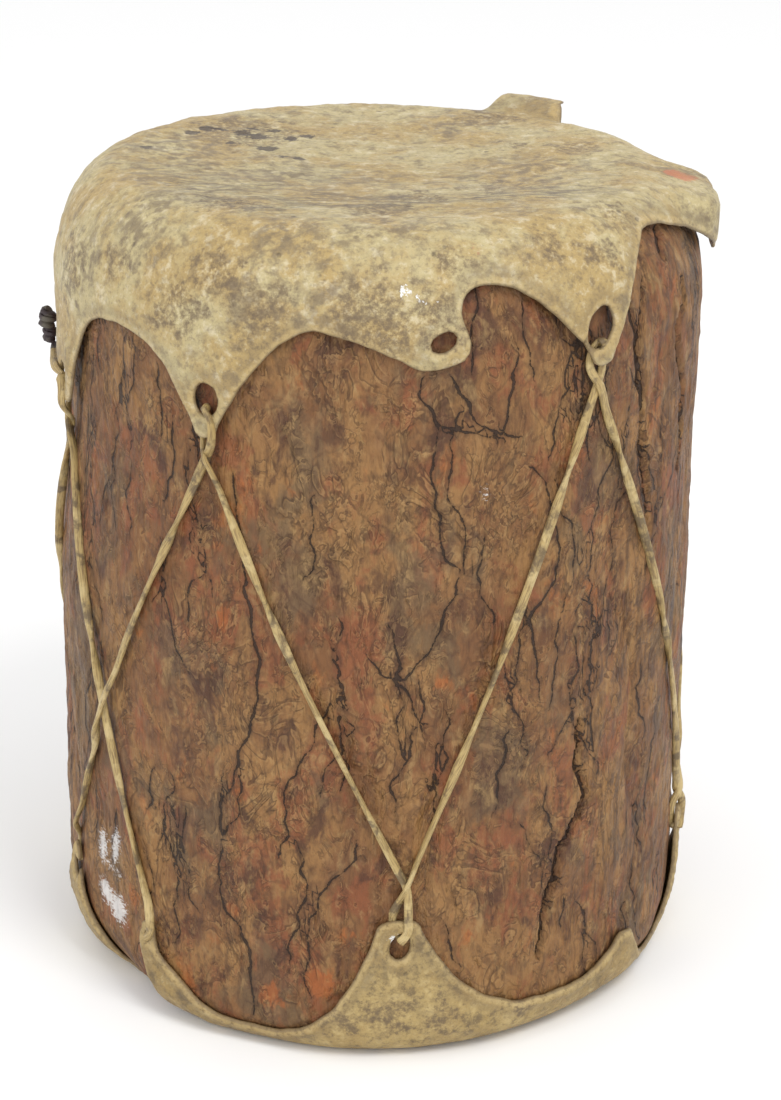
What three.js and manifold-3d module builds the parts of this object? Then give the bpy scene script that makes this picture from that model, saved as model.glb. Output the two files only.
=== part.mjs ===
import * as THREE from "three";
import { mergeVertices } from "three/addons/utils/BufferGeometryUtils.js";
import Module from "manifold-3d";

// A log drum: a hollow length of log with its bark on, a rawhide skin over each end, and one
// rawhide thong laced up and down between tabs that are cut on the edges of the two skins.
// Millimetres, +Z up. The origin is at the middle of the flat underside.
// A bearing is in degrees round the drum: 0 faces the front (-Y) and it grows towards +X.

// Driving sizes
const HEIGHT = 387;
const LOG_RADIUS = 153;
const WALL = 39;
const SHOULDER_WIDTH = 34;
const SHOULDER_HEIGHT = 49;
const HEEL_WIDTH = 12;
const HEEL_HEIGHT = 15;
const SKIN = 2.6;
const DISH = 5;
const DISH_CURVE = 1.5;
const THONG = 4;
const GAP = 0.5;
const SKIN_GAP = 1.2;

// The heel is worn further round on the left, where the lower skin runs out of sight under it.
const WORN_HEEL = { at: -58, spread: 24, width: 11, height: 20 };

// The log narrows to its top, most on the left: where that side faces, and by how much.
const TAPER = { at: -85, width: 6.5, from: 280, over: 55 };

// The log is a little out of round: share of its radius, number of lobes and bearing of a lobe.
const LOBES = [
  { share: 0.004, count: 2, at: 70 },
  { share: 0.0025, count: 3, at: -20 },
];

// Bark: plates between upright furrows that wander sideways as they rise, and how far the bark is
// pressed back under the skins.
const PLATE_COUNT = 14;
const FURROW_DEPTH = 3;
const FURROW_WANDER = [
  { reach: 5, rise: 41, round: 23 },
  { reach: 2.5, rise: 19, round: -11 },
];
const PRESSED = 1.1;
const HEEL_PRESSED = 0.8;

// The lip at the top of the bore, in shares of its width.
const LIP = { crown: 0.3, fall: 0.35, foot: 1.4 };

// A laced tab stands off the bark so that the thong passes behind it. To each side of the tab the
// lift holds for some degrees and then runs out over some more, and so it does above its hole.
const LACED_LIFT = THONG + 2.4 * GAP - SKIN_GAP;
const LIFT_HOLD = 3.5;
const LIFT_SPREAD = 8;
const LIFT_FADE = 24;

// A tab ends in five points. The two beside its tip lie at these shares of its half width and of
// the height of its round end.
const ROUND_END = { across: 0.7, up: 0.3 };

// Tabs of the upper skin in order of bearing. A tab has the bearing of its tip, the drop of the
// tip below the top of the drum, the half widths of its round end in degrees and the height of
// that end. A hole has its bearing, its height above the tip, its width and height, and its lean.
// The crown is the top of the scallop after the tab, with the fullness of its two sides.
const TOP_TABS = [
  {
    at: -153.2, drop: 87, left: 2.3, right: 2.3, round: 6, laced: true,
    hole: { at: -153, up: 17, wide: 10, high: 14, lean: 0 },
    crown: { at: -134, drop: 38, before: 2.1, after: 1.7 },
  },
  {
    at: -113, drop: 54, left: 4.5, right: 3, round: 5,
    hole: { at: -112.5, up: 14, wide: 9, high: 11, lean: 12 },
    crown: { at: -95, drop: 44, before: 2.2, after: 2 },
  },
  {
    at: -71, drop: 103, left: 3.6, right: 4, round: 8, laced: true,
    hole: { at: -71.5, up: 13.5, wide: 9, high: 11, lean: 0 },
    crown: { at: -47.9, drop: 51, before: 3.6, after: 2.4 },
  },
  {
    at: -28.8, drop: 90.5, left: 2.2, right: 2.4, round: 5.5, laced: true,
    hole: { at: -28.4, up: 17, wide: 10.7, high: 14, lean: 4 },
    crown: { at: -9.5, drop: 38.6, before: 1.85, after: 1.4 },
  },
  {
    at: 7.5, drop: 54, left: 3, right: 7.2, round: 4,
    hole: { at: 10.9, up: 12.5, wide: 11, high: 8, lean: -12 },
    crown: { at: 20.1, drop: 21, before: 8, after: 1.66 },
  },
  {
    at: 38.5, drop: 59.5, left: 2, right: 2.3, round: 4, laced: true,
    hole: { at: 39, up: 18.5, wide: 10, high: 17, lean: -16 },
    crown: { at: 59.7, drop: 11.5, before: 2.3, after: 1.25 },
  },
  {
    at: 87.5, drop: 34, left: 1.8, right: 6, round: 3, eave: { radius: 157.2, fold: 380, hold: 7, spread: 9 },
    hole: { at: 90.5, up: 15, wide: 8, high: 16, lean: 0 },
    crown: { at: 107, drop: 17, before: 4, after: 2 },
  },
  {
    at: 123.6, drop: 80, left: 2.3, right: 2.3, round: 6, laced: true,
    hole: { at: 123.6, up: 17, wide: 10, high: 14, lean: -5 },
    crown: { at: 137, drop: 8, before: 1.8, after: 9 },
  },
  {
    at: 146.8, drop: 11, left: 6.3, right: 6.3, round: 1, lift: 16, plateau: 0.5, fade: 7, hold: 7, spread: 3,
    crown: { at: 158, drop: 9, before: 9, after: 1.5 },
  },
];

// Tabs of the lower skin, told the same way, with the rise of each tip above the floor.
const FOOT_TABS = [
  {
    at: -111.6, rise: 66, left: 2.4, right: 2.4, round: 6, laced: true,
    hole: { at: -111.6, up: 15, wide: 9, high: 13, lean: 0 },
    crown: { at: -89, rise: 11, before: 3, after: 3.4 },
  },
  {
    at: -67.5, rise: 62, left: 2, right: 2, round: 5, laced: true,
    hole: { at: -67.5, up: 14, wide: 7, high: 12, lean: 0 },
    crown: { at: -54, rise: 7, before: 4, after: 6 },
  },
  {
    at: -42, rise: 50, left: 1.6, right: 2.4, round: 5, laced: true,
    hole: { at: -41.4, up: 13, wide: 7, high: 10, lean: 0 },
    crown: { at: -20.7, rise: 12, before: 2.9, after: 3.3 },
  },
  {
    at: 6.2, rise: 74, left: 4.9, right: 2.8, round: 6, laced: true, join: 17,
    hole: { at: 5.3, up: 14, wide: 9, high: 14, lean: -14 },
    crown: { at: 36, rise: 21.5, before: 3.1, after: 2.4 },
  },
  {
    at: 52.6, rise: 35, left: 3, right: 2.5, round: 3,
    crown: { at: 66, rise: 12, before: 3.4, after: 3.4 },
  },
  {
    at: 82, rise: 66, left: 2, right: 2.2, round: 6, laced: true,
    hole: { at: 82, up: 15, wide: 8, high: 13, lean: 0 },
    crown: { at: 118, rise: 12, before: 3.4, after: 3.2 },
  },
  {
    at: 165.2, rise: 68, left: 2.4, right: 2.4, round: 6, laced: true,
    hole: { at: 165.2, up: 15, wide: 9, high: 13, lean: 0 },
    crown: { at: 206, rise: 12, before: 3.2, after: 3.2 },
  },
];

// Bearings of the tabs that the thong goes through, in its order, the lower skin first.
const LACED_ORDER = [-42, -71, -111.6, -153.2, 165.2, 123.6, 82, 38.5, 6.2, -28.8, -67.5];

// Two stretches join this far beyond the tip of a tab.
const JOIN_BEYOND = 9;

// How the thong turns round the lip of a tab: how far it reaches up into the hole, how far from
// the tip it lies flat on the tab again, and the degrees by which its two legs part.
const LOOP = { reach: 1.9, swing: 1.5, bend: 0.95, close: 0.85, flat: 2, end: 1, part: 0.35 };

// Each stretch leaves its join standing off the bark by this share of its thickness.
const START_LIFT = 0.9;

// The last stretch of the thong crosses over its first stretch: how far it rises and falls there.
const CROSSING = { length: 30, lift: 0.95, hold: 1.25, points: [-0.8, -0.3, 0.3, 0.8] };

// A knot of old thong hangs from the left tab.
const KNOT = { at: -88, drop: 77, lumps: [4.8, 4.2], spacing: 8, tall: 1.15, lead: 2.5, clear: 0.5 };

// Main fissures of the bark: [bearing, share of the height] along each, its width and depth.
const FISSURES = [
  { width: 5.5, depth: 6, along: [[38.4, 0.41], [38.2, 0.35], [41.2, 0.305], [35.2, 0.245], [31.6, 0.12]] },
  { width: 4, depth: 4.5, along: [[32.4, 0.64], [31.6, 0.6], [27, 0.555], [28.2, 0.52], [29.6, 0.45]] },
  { width: 4, depth: 4.5, along: [[52.6, 0.9], [49, 0.845], [51.7, 0.75], [55, 0.6]] },
  { width: 4, depth: 4.5, along: [[-24, 0.72], [-23.3, 0.57], [-19.7, 0.53], [-20.7, 0.42], [-25.5, 0.32]] },
  { width: 3.5, depth: 4, along: [[-27.6, 0.25], [-25.7, 0.19], [-21.9, 0.155], [-21, 0.08]] },
];
const FISSURE_ENDS = 0.35;
const FISSURE_FLARE = 2.2;
const BACK_FISSURES = {
  count: 5, from: 82, apart: 42, foot: 0.16, stagger: 0.22, rise: 0.1, width: 4.2, depth: 4.5, swing: 2.6,
};

// Numbers of facets
const LOG_COLUMNS = 48;
const HEEL_STEPS = 3;
const SIDE_ROWS = 7;
const SHOULDER_STEPS = 4;
const EDGE_STEP = 36;
const THONG_SIDES = 5;
const RUN_STEPS = 5;
const KNOT_STEPS = 4;
const LUMP_FACETS = [8, 6];
const FISSURE_STEPS = 3;
const EDGE_SAMPLES = 60;

// How the rows of a skirt are shared out: millimetres that each radian of a rounded edge counts for.
const SHOULDER_WEIGHT = 42;
const HEEL_WEIGHT = 30;

const LOG_TOP = HEIGHT - SKIN - SKIN_GAP;
const LOG_FOOT = SKIN + SKIN_GAP;
const BORE_RADIUS = LOG_RADIUS - WALL;
const CREST_RADIUS = Math.max(LOG_RADIUS - SHOULDER_WIDTH, BORE_RADIUS + 2);
const RADIAN = Math.PI / 180;

const wasm = await Module();
wasm.setup();

// Small helpers

function lerp(from, to, share) {
  return from + (to - from) * share;
}

function smooth(share) {
  const held = Math.min(1, Math.max(0, share));
  return held * held * (3 - 2 * held);
}

function turn(from, to) {
  return ((((to - from) % 360) + 540) % 360) - 180;
}

function place(bearing, radius, z) {
  let roundness = 1;
  for (const lobe of LOBES) {
    roundness += lobe.share * Math.cos(lobe.count * (bearing - lobe.at) * RADIAN);
  }
  const out = radius * roundness;
  return new THREE.Vector3(out * Math.sin(bearing * RADIAN), -out * Math.cos(bearing * RADIAN), z);
}

function closedGeometry(points, faces) {
  const flat = new Float32Array(points.length * 3);
  points.forEach((point, index) => point.toArray(flat, index * 3));
  let volume = 0;
  const cross = new THREE.Vector3();
  for (const [a, b, c] of faces) {
    volume += cross.crossVectors(points[a], points[b]).dot(points[c]);
  }
  const outward = volume > 0 ? faces : faces.map(([a, b, c]) => [a, c, b]);
  const geometry = new THREE.BufferGeometry();
  geometry.setAttribute("position", new THREE.BufferAttribute(flat, 3));
  geometry.setIndex(outward.flat());
  return geometry;
}

function toSolid(geometry) {
  const bare = geometry.clone();
  bare.deleteAttribute("normal");
  bare.deleteAttribute("uv");
  const merged = mergeVertices(bare, 1e-4);
  return new wasm.Manifold(new wasm.Mesh({
    numProp: 3,
    vertProperties: Float32Array.from(merged.attributes.position.array),
    triVerts: Uint32Array.from(merged.index.array),
  }));
}

function fromSolid(solid) {
  const mesh = solid.getMesh();
  const geometry = new THREE.BufferGeometry();
  geometry.setAttribute("position", new THREE.BufferAttribute(mesh.vertProperties, 3));
  geometry.setIndex(new THREE.BufferAttribute(mesh.triVerts, 1));
  geometry.computeVertexNormals();
  return geometry;
}

// The log's side as a profile: radius and outward normal at a height.

function roundedEdge(centre, width, height, sine, up) {
  const cosine = Math.sqrt(Math.max(0, 1 - sine * sine));
  const length = Math.hypot(height * cosine, width * sine);
  return {
    radius: centre + width * cosine,
    out: (height * cosine) / length,
    up: (up * width * sine) / length,
  };
}

function heelAt(bearing) {
  const worn = smooth(1 - Math.abs(turn(WORN_HEEL.at, bearing)) / WORN_HEEL.spread);
  return {
    width: HEEL_WIDTH + WORN_HEEL.width * worn,
    height: HEEL_HEIGHT + WORN_HEEL.height * worn,
  };
}

function trunkRadius(bearing, z) {
  const facing = (1 + Math.cos((bearing - TAPER.at) * RADIAN)) / 2;
  return LOG_RADIUS - TAPER.width * facing * smooth((z - TAPER.from) / TAPER.over);
}

function logSide(bearing, z) {
  const heel = heelAt(bearing);
  const trunk = trunkRadius(bearing, z);
  const upper = (z - (LOG_TOP - SHOULDER_HEIGHT)) / SHOULDER_HEIGHT;
  const lower = (LOG_FOOT + heel.height - z) / heel.height;
  if (upper > 0) {
    return roundedEdge(CREST_RADIUS, trunk - CREST_RADIUS, SHOULDER_HEIGHT, Math.min(1, upper), 1);
  }
  if (lower > 0) {
    return roundedEdge(LOG_RADIUS - heel.width, heel.width, heel.height, Math.min(1, lower), -1);
  }
  return { radius: trunk, out: 1, up: 0 };
}

function offLog(bearing, z, distance) {
  const side = logSide(bearing, z);
  return place(bearing, side.radius + distance * side.out, z + distance * side.up);
}

// The log

function furrow(bearing, z) {
  let along = bearing;
  for (const { reach, rise, round } of FURROW_WANDER) {
    along += reach * Math.sin(z / rise + bearing / round);
  }
  const ridge = Math.abs(Math.sin((along * PLATE_COUNT * RADIAN) / 2));
  return FURROW_DEPTH * (1 - Math.sqrt(ridge));
}

function logProfile(bearing) {
  const heel = heelAt(bearing);
  const profile = [];
  const shift = (z, radius, out, up, depth) => {
    profile.push(place(bearing, radius - depth * out, z - depth * up));
  };
  for (let step = 0; step <= HEEL_STEPS; step += 1) {
    const angle = ((step / HEEL_STEPS - 1) * Math.PI) / 2;
    const z = LOG_FOOT + heel.height * (1 + Math.sin(angle));
    const side = logSide(bearing, z);
    const depth = step === 0 ? 0 : HEEL_PRESSED;
    shift(z, side.radius, side.out, step === 0 ? -1 : side.up, depth);
  }
  const sideFoot = LOG_FOOT + heel.height;
  const sideTop = LOG_TOP - SHOULDER_HEIGHT;
  for (let row = 1; row < SIDE_ROWS; row += 1) {
    const z = lerp(sideFoot, sideTop, row / SIDE_ROWS);
    const depth = furrow(bearing, z) * smooth(3 * Math.min(row, SIDE_ROWS - row) / SIDE_ROWS);
    shift(z, trunkRadius(bearing, z), 1, 0, depth + GAP / 2);
  }
  for (let step = 0; step <= SHOULDER_STEPS; step += 1) {
    const angle = (step * Math.PI) / 2 / SHOULDER_STEPS;
    const z = sideTop + SHOULDER_HEIGHT * Math.sin(angle);
    const side = logSide(bearing, z);
    shift(z, side.radius, side.out, side.up, PRESSED);
  }
  const lip = CREST_RADIUS - BORE_RADIUS;
  profile.push(place(bearing, BORE_RADIUS + lip * LIP.crown, LOG_TOP - PRESSED - lip * LIP.fall));
  profile.push(place(bearing, BORE_RADIUS, LOG_TOP - PRESSED - lip * LIP.foot));
  profile.push(place(bearing, BORE_RADIUS, LOG_FOOT + lip));
  profile.push(place(bearing, BORE_RADIUS + lip, LOG_FOOT + GAP));
  return profile;
}

function wedge(fissure) {
  const points = [];
  const faces = [];
  const last = fissure.along.length - 1;
  fissure.along.forEach(([bearing, share], index) => {
    const z = share * HEIGHT;
    const side = logSide(bearing, z).radius;
    const taper = index === 0 || index === last ? FISSURE_ENDS : 1;
    const half = (FISSURE_FLARE * fissure.width * taper) / 2 / side / RADIAN;
    points.push(place(bearing - half, side + fissure.width, z));
    points.push(place(bearing + half, side + fissure.width, z));
    points.push(place(bearing, side - fissure.depth * taper, z));
  });
  for (let index = 0; index < last; index += 1) {
    for (let corner = 0; corner < 3; corner += 1) {
      const a = index * 3 + corner;
      const b = index * 3 + ((corner + 1) % 3);
      faces.push([a, b, b + 3], [a, b + 3, a + 3]);
    }
  }
  faces.push([0, 2, 1], [last * 3, last * 3 + 1, last * 3 + 2]);
  return toSolid(closedGeometry(points, faces));
}

function backFissure(index) {
  const { from, apart, foot, stagger, rise, width, depth, swing } = BACK_FISSURES;
  const bearing = from + index * apart + 2 * swing * Math.sin(index * 2.3);
  const start = foot + stagger * Math.abs(Math.sin(index * 1.7));
  const along = [];
  for (let step = 0; step <= FISSURE_STEPS; step += 1) {
    along.push([bearing + swing * Math.sin(index * 3.1 + step * 2.2), start + step * rise]);
  }
  return { width, depth, along };
}

function makeLog() {
  const points = [];
  const faces = [];
  let rows = 0;
  for (let column = 0; column < LOG_COLUMNS; column += 1) {
    const profile = logProfile((column * 360) / LOG_COLUMNS);
    rows = profile.length;
    points.push(...profile);
  }
  for (let column = 0; column < LOG_COLUMNS; column += 1) {
    const here = column * rows;
    const next = ((column + 1) % LOG_COLUMNS) * rows;
    for (let row = 0; row < rows; row += 1) {
      const up = (row + 1) % rows;
      faces.push([here + row, next + row, next + up], [here + row, next + up, here + up]);
    }
  }
  let solid = toSolid(closedGeometry(points, faces));
  const cuts = [...FISSURES];
  for (let index = 0; index < BACK_FISSURES.count; index += 1) {
    cuts.push(backFissure(index));
  }
  for (const cut of cuts) {
    solid = solid.subtract(wedge(cut));
  }
  return fromSolid(solid);
}

// The skins

function tipHeight(tab) {
  return "drop" in tab ? HEIGHT - tab.drop : tab.rise;
}

function inward(tab) {
  return "drop" in tab ? 1 : -1;
}

// Points about EDGE_STEP apart along one side of a scallop, its crown left out.
function evenly(curve) {
  const fine = [];
  let length = 0;
  for (let step = 0; step <= EDGE_SAMPLES; step += 1) {
    const point = curve(step / EDGE_SAMPLES);
    const last = fine[fine.length - 1] ?? { point };
    const across = LOG_RADIUS * RADIAN * (point.bearing - last.point.bearing);
    length += Math.hypot(across, point.z - last.point.z);
    fine.push({ point, length });
  }
  const count = Math.ceil(length / EDGE_STEP);
  const chosen = [];
  for (let index = 1; index <= count; index += 1) {
    const wanted = (length * index) / count;
    chosen.push(fine.find((entry) => entry.length >= wanted - 1e-6).point);
  }
  return chosen;
}

function edgeColumns(tabs) {
  const columns = [];
  tabs.forEach((tab, index) => {
    const before = tabs[(index + tabs.length - 1) % tabs.length].crown;
    const tip = tipHeight(tab);
    const end = tip + inward(tab) * tab.round;
    const side = (crown, edge, fullness) => evenly((along) => ({
      bearing: tab.at + lerp(turn(tab.at, crown.at), edge, along),
      z: lerp(tipHeight(crown), end, along ** fullness),
    }));
    columns.push(...side(before, -tab.left, before.after));
    const beside = tip + inward(tab) * tab.round * ROUND_END.up;
    columns.push({ bearing: tab.at - tab.left * ROUND_END.across, z: beside });
    columns.push({ bearing: tab.at, z: tip });
    columns.push({ bearing: tab.at + tab.right * ROUND_END.across, z: beside });
    columns.push(...side(tab.crown, tab.right, tab.crown.before).reverse());
    columns.push({ bearing: tab.crown.at, z: tipHeight(tab.crown) });
  });
  return columns;
}

function tabLift(tab) {
  return tab.laced ? LACED_LIFT : tab.lift ?? 0;
}

function liftAt(tabs, bearing, z) {
  let lift = 0;
  for (const tab of tabs) {
    const plateau = tab.laced ? tab.hole.up + tab.hole.high / 2 : tab.plateau ?? 0;
    const beside = Math.abs(turn(tab.at, bearing)) - (tab.hold ?? LIFT_HOLD);
    const above = Math.abs(z - tipHeight(tab)) - plateau;
    const window = smooth(1 - beside / (tab.spread ?? LIFT_SPREAD));
    lift = Math.max(lift, tabLift(tab) * window * smooth(1 - above / (tab.fade ?? LIFT_FADE)));
  }
  return lift;
}

// A stiff tab that stands out like an eave: level to its fold, then straight down to its tip.
function eavePlace(eave, column, share, depth) {
  const level = eave.radius - CREST_RADIUS;
  const along = share * (level + eave.fold - column.z);
  if (along < level) {
    return place(column.bearing, CREST_RADIUS + along, lerp(HEIGHT, eave.fold, along / level) - depth);
  }
  return place(column.bearing, eave.radius - depth, eave.fold + level - along);
}

function eaveWindow(tab, bearing) {
  const beside = Math.abs(turn(tab.at, bearing)) - tab.eave.hold;
  return smooth(1 - beside / tab.eave.spread);
}

function skinSolid(columns, ringsOut, ringsIn, hubOut, hubIn) {
  const count = columns.length;
  const points = [hubOut, hubIn];
  const sheets = [ringsOut, ringsIn].map((rings) => rings.map((ring) => {
    const start = points.length;
    points.push(...columns.map(ring));
    return start;
  }));
  const faces = [];
  const band = (first, second) => {
    for (let column = 0; column < count; column += 1) {
      const next = (column + 1) % count;
      faces.push([first + column, first + next, second + next]);
      faces.push([first + column, second + next, second + column]);
    }
  };
  const [outer, inner] = sheets;
  for (let column = 0; column < count; column += 1) {
    const next = (column + 1) % count;
    faces.push([0, outer[0] + next, outer[0] + column]);
    faces.push([1, inner[0] + column, inner[0] + next]);
  }
  for (let ring = 0; ring + 1 < outer.length; ring += 1) {
    band(outer[ring], outer[ring + 1]);
  }
  band(outer[outer.length - 1], inner[inner.length - 1]);
  for (let ring = 0; ring + 1 < inner.length; ring += 1) {
    band(inner[ring + 1], inner[ring]);
  }
  return toSolid(closedGeometry(points, faces));
}

function punch(tab) {
  const hole = tab.hole;
  const z = tipHeight(tab) + inward(tab) * hole.up;
  const side = tab.eave ? { out: 1, up: 0 } : logSide(hole.at, z);
  const shape = new THREE.Shape();
  shape.absellipse(0, 0, hole.wide / 2, hole.high / 2, 0, 2 * Math.PI, false, hole.lean * RADIAN);
  const depth = 2 * (tabLift(tab) + SKIN + THONG);
  const geometry = new THREE.ExtrudeGeometry(shape, { depth, bevelEnabled: false, curveSegments: 8 });
  const centre = tab.eave ? place(hole.at, tab.eave.radius - 2 * SKIN, z) : offLog(hole.at, z, 0);
  const round = new THREE.Vector3(Math.cos(hole.at * RADIAN), Math.sin(hole.at * RADIAN), 0);
  const away = new THREE.Vector3(
    side.out * Math.sin(hole.at * RADIAN), -side.out * Math.cos(hole.at * RADIAN), side.up,
  );
  const along = new THREE.Vector3().crossVectors(away, round);
  const frame = new THREE.Matrix4().makeBasis(round, along, away).setPosition(centre);
  geometry.applyMatrix4(frame);
  return toSolid(geometry);
}

// Height of a row of the skirt, by its share of the way from the rim to the edge of the skin:
// first round the log's edge, then along its side.
function rowHeight(column, rim, inside, share) {
  const height = inside > 0 ? SHOULDER_HEIGHT : heelAt(column.bearing).height;
  const weight = inside > 0 ? SHOULDER_WEIGHT : HEEL_WEIGHT;
  const reach = inside * (rim - column.z);
  const round = Math.acos(1 - Math.min(reach, height) / height) * weight;
  const along = share * (round + Math.max(0, reach - height));
  if (along > round) {
    return rim - inside * (height + along - round);
  }
  return rim - inside * height * (1 - Math.cos(along / weight));
}

function makeSkin(tabs, { rimZ, hubZ, inside, ringShares, rows }) {
  const columns = edgeColumns(tabs);
  const rim = rimZ - inside * (SKIN + SKIN_GAP);
  const crest = (bearing) => (inside > 0 ? CREST_RADIUS : LOG_RADIUS - heelAt(bearing).width);
  const flatZ = (share) => lerp(rimZ, hubZ, (1 - share * share) ** DISH_CURVE);
  const rowShares = Array.from({ length: rows }, (_, index) => (index + 1) / rows);
  const rings = (thick) => [
    ...ringShares.map((share) => ({ bearing }) => place(
      bearing, crest(bearing) * share, flatZ(share) + inside * (thick - SKIN),
    )),
    ...rowShares.map((share) => (column) => {
      const z = rowHeight(column, rim, inside, share);
      const point = offLog(column.bearing, z, SKIN_GAP + liftAt(tabs, column.bearing, z) + thick);
      for (const tab of tabs.filter((entry) => entry.eave)) {
        point.lerp(eavePlace(tab.eave, column, share, SKIN - thick), eaveWindow(tab, column.bearing));
      }
      return point;
    }),
  ];
  const hubOut = new THREE.Vector3(0, 0, hubZ);
  const hubIn = new THREE.Vector3(0, 0, hubZ - inside * SKIN);
  let solid = skinSolid(columns, rings(SKIN), rings(0), hubOut, hubIn);
  for (const tab of tabs) {
    if (tab.hole) {
      solid = solid.subtract(punch(tab));
    }
  }
  return fromSolid(solid);
}

// The thong

function thongRadius(bearing, z) {
  return logSide(bearing, z).radius + GAP + THONG / 2;
}

function joinPlace(tab) {
  const beyond = tab.join ?? JOIN_BEYOND;
  return { bearing: tab.at, z: tipHeight(tab) - inward(tab) * beyond };
}

// A curve whose stations follow its own points, which lie closer together in the bends.
class Strand extends THREE.CatmullRomCurve3 {
  getUtoTmapping(share) {
    return share;
  }
}

function sweep(points) {
  const corners = Array.from({ length: THONG_SIDES }, (_, index) => {
    const angle = (2 * Math.PI * index) / THONG_SIDES;
    return new THREE.Vector2(Math.cos(angle), Math.sin(angle)).multiplyScalar(THONG / 2);
  });
  const extrudePath = new Strand(points, false, "centripetal");
  const settings = { steps: points.length - 1, bevelEnabled: false, extrudePath };
  return toSolid(new THREE.ExtrudeGeometry(new THREE.Shape(corners), settings));
}

// Points where the thong turns round the lip of a tab, from the hole outwards.
function tabEnd(tab, over) {
  const tip = tipHeight(tab);
  const hole = tab.hole;
  const away = -inward(tab);
  const stand = SKIN_GAP + tabLift(tab);
  const slope = logSide(hole.at, tip - away * hole.up).up;
  const lip = hole.up - hole.high / 2 - away * slope * (stand + SKIN);
  const face = logSide(hole.at, tip).radius + stand;
  const middle = face + SKIN / 2;
  const clear = THONG / 2 + GAP;
  const radius = over ? face + SKIN + clear : face - clear;
  const bearing = hole.at + (over ? -LOOP.part : LOOP.part);
  const at = (beyond, out, where) => {
    const z = tip + away * beyond;
    return place(where, out + trunkRadius(where, z) - trunkRadius(where, tip), z);
  };
  return [
    at(-lip - clear - LOOP.reach, middle + (over ? -LOOP.swing : LOOP.swing), hole.at),
    at(-lip - clear * LOOP.bend, lerp(middle, radius, LOOP.close), lerp(hole.at, bearing, 0.5)),
    at(-lip + LOOP.flat, radius, bearing),
    at(LOOP.end, radius, bearing),
  ];
}

// Where two stretches cross: both are straight lines when the bark is unrolled.
function crossingHeight(first, last) {
  const slope = ({ from, to }) => turn(from.bearing, to.bearing) / (to.z - from.z);
  const apart = turn(first.from.bearing, last.from.bearing);
  const rise = apart + slope(first) * first.from.z - slope(last) * last.from.z;
  return rise / (slope(first) - slope(last));
}

// The stretch between two tabs, wound on the bark, with the share of its way where it crosses another.
function runPoints({ from, to }, crossing) {
  let shares = Array.from({ length: RUN_STEPS + 1 }, (_, index) => index / RUN_STEPS);
  const reach = CROSSING.length / Math.abs(to.z - from.z);
  if (crossing !== undefined) {
    const near = CROSSING.points.map((share) => crossing + reach * share);
    shares = [...shares.filter((share) => Math.abs(share - crossing) > reach), ...near];
    shares.sort((first, second) => first - second);
  }
  return shares.map((share) => {
    const bearing = from.bearing + turn(from.bearing, to.bearing) * share;
    const z = lerp(from.z, to.z, share);
    const start = smooth(1 - share * RUN_STEPS) * START_LIFT;
    const near = crossing === undefined ? 0 : smooth(CROSSING.hold - Math.abs(share - crossing) / reach);
    return place(bearing, thongRadius(bearing, z) + (start + near * CROSSING.lift) * THONG, z);
  });
}

function makeThong() {
  const laced = [...TOP_TABS, ...FOOT_TABS].filter((tab) => tab.laced);
  const order = LACED_ORDER.map((bearing) => laced.find((tab) => tab.at === bearing));
  const runs = order.slice(1).map((tab, index) => ({ from: joinPlace(order[index]), to: joinPlace(tab) }));
  const last = runs[runs.length - 1];
  const crossing = (crossingHeight(runs[0], last) - last.from.z) / (last.to.z - last.from.z);
  return runs.map((run, index) => {
    const middle = runPoints(run, run === last ? crossing : undefined);
    return sweep([...tabEnd(order[index], true), ...middle, ...tabEnd(order[index + 1], false).reverse()]);
  });
}

function makeKnot() {
  const tab = TOP_TABS.find((entry) => entry.laced && entry.at === LACED_ORDER[1]);
  const face = SKIN_GAP + SKIN;
  const z = HEIGHT - KNOT.drop;
  const pieces = KNOT.lumps.map((radius, index) => {
    const lump = new THREE.SphereGeometry(radius, ...LUMP_FACETS);
    lump.scale(1, 1, KNOT.tall);
    const centre = offLog(KNOT.at - index, z - index * KNOT.spacing, face + radius + GAP);
    return toSolid(lump.translate(centre.x, centre.y, centre.z));
  });
  const hole = tab.hole;
  const height = tipHeight(tab) + hole.up;
  const stand = (bearing) => face + liftAt(TOP_TABS, bearing, height) + THONG / 2 + GAP;
  const points = [offLog(hole.at, height - hole.high / 2 + THONG, stand(hole.at) - THONG / 2)];
  for (let step = 0; step <= KNOT_STEPS; step += 1) {
    const bearing = lerp(hole.at - KNOT.lead, KNOT.at, step / KNOT_STEPS);
    points.push(offLog(bearing, height, stand(bearing) + KNOT.clear));
  }
  pieces.push(sweep(points));
  return pieces;
}

function makeLacing() {
  const pieces = [...makeThong(), ...makeKnot()];
  const whole = pieces.reduce((joined, piece) => joined.add(piece));
  const shells = whole.decompose().filter((shell) => shell.volume() > 0);
  return fromSolid(wasm.Manifold.compose(shells));
}

// The drum

const TOP_SHEET = { rimZ: HEIGHT, hubZ: HEIGHT - DISH, inside: 1, ringShares: [0.6, 1], rows: 5 };
const FOOT_SHEET = { rimZ: 0, hubZ: 0, inside: -1, ringShares: [1], rows: 4 };

const group = new THREE.Group();
group.name = "log_drum";

function addPiece(name, geometry, color, roughness) {
  const material = new THREE.MeshStandardMaterial({ color, roughness, metalness: 0, flatShading: true });
  const mesh = new THREE.Mesh(geometry, material);
  mesh.name = name;
  group.add(mesh);
}

addPiece("log_shell", makeLog(), 0x8a5a3c, 0.9);
addPiece("top_skin", makeSkin(TOP_TABS, TOP_SHEET), 0xc2ad80, 0.7);
addPiece("bottom_skin", makeSkin(FOOT_TABS, FOOT_SHEET), 0xb89f6a, 0.7);
addPiece("thong", makeLacing(), 0xb79a63, 0.75);

export default group;
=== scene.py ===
import math

import bpy
import numpy as np
from mathutils import Matrix, Vector


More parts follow.
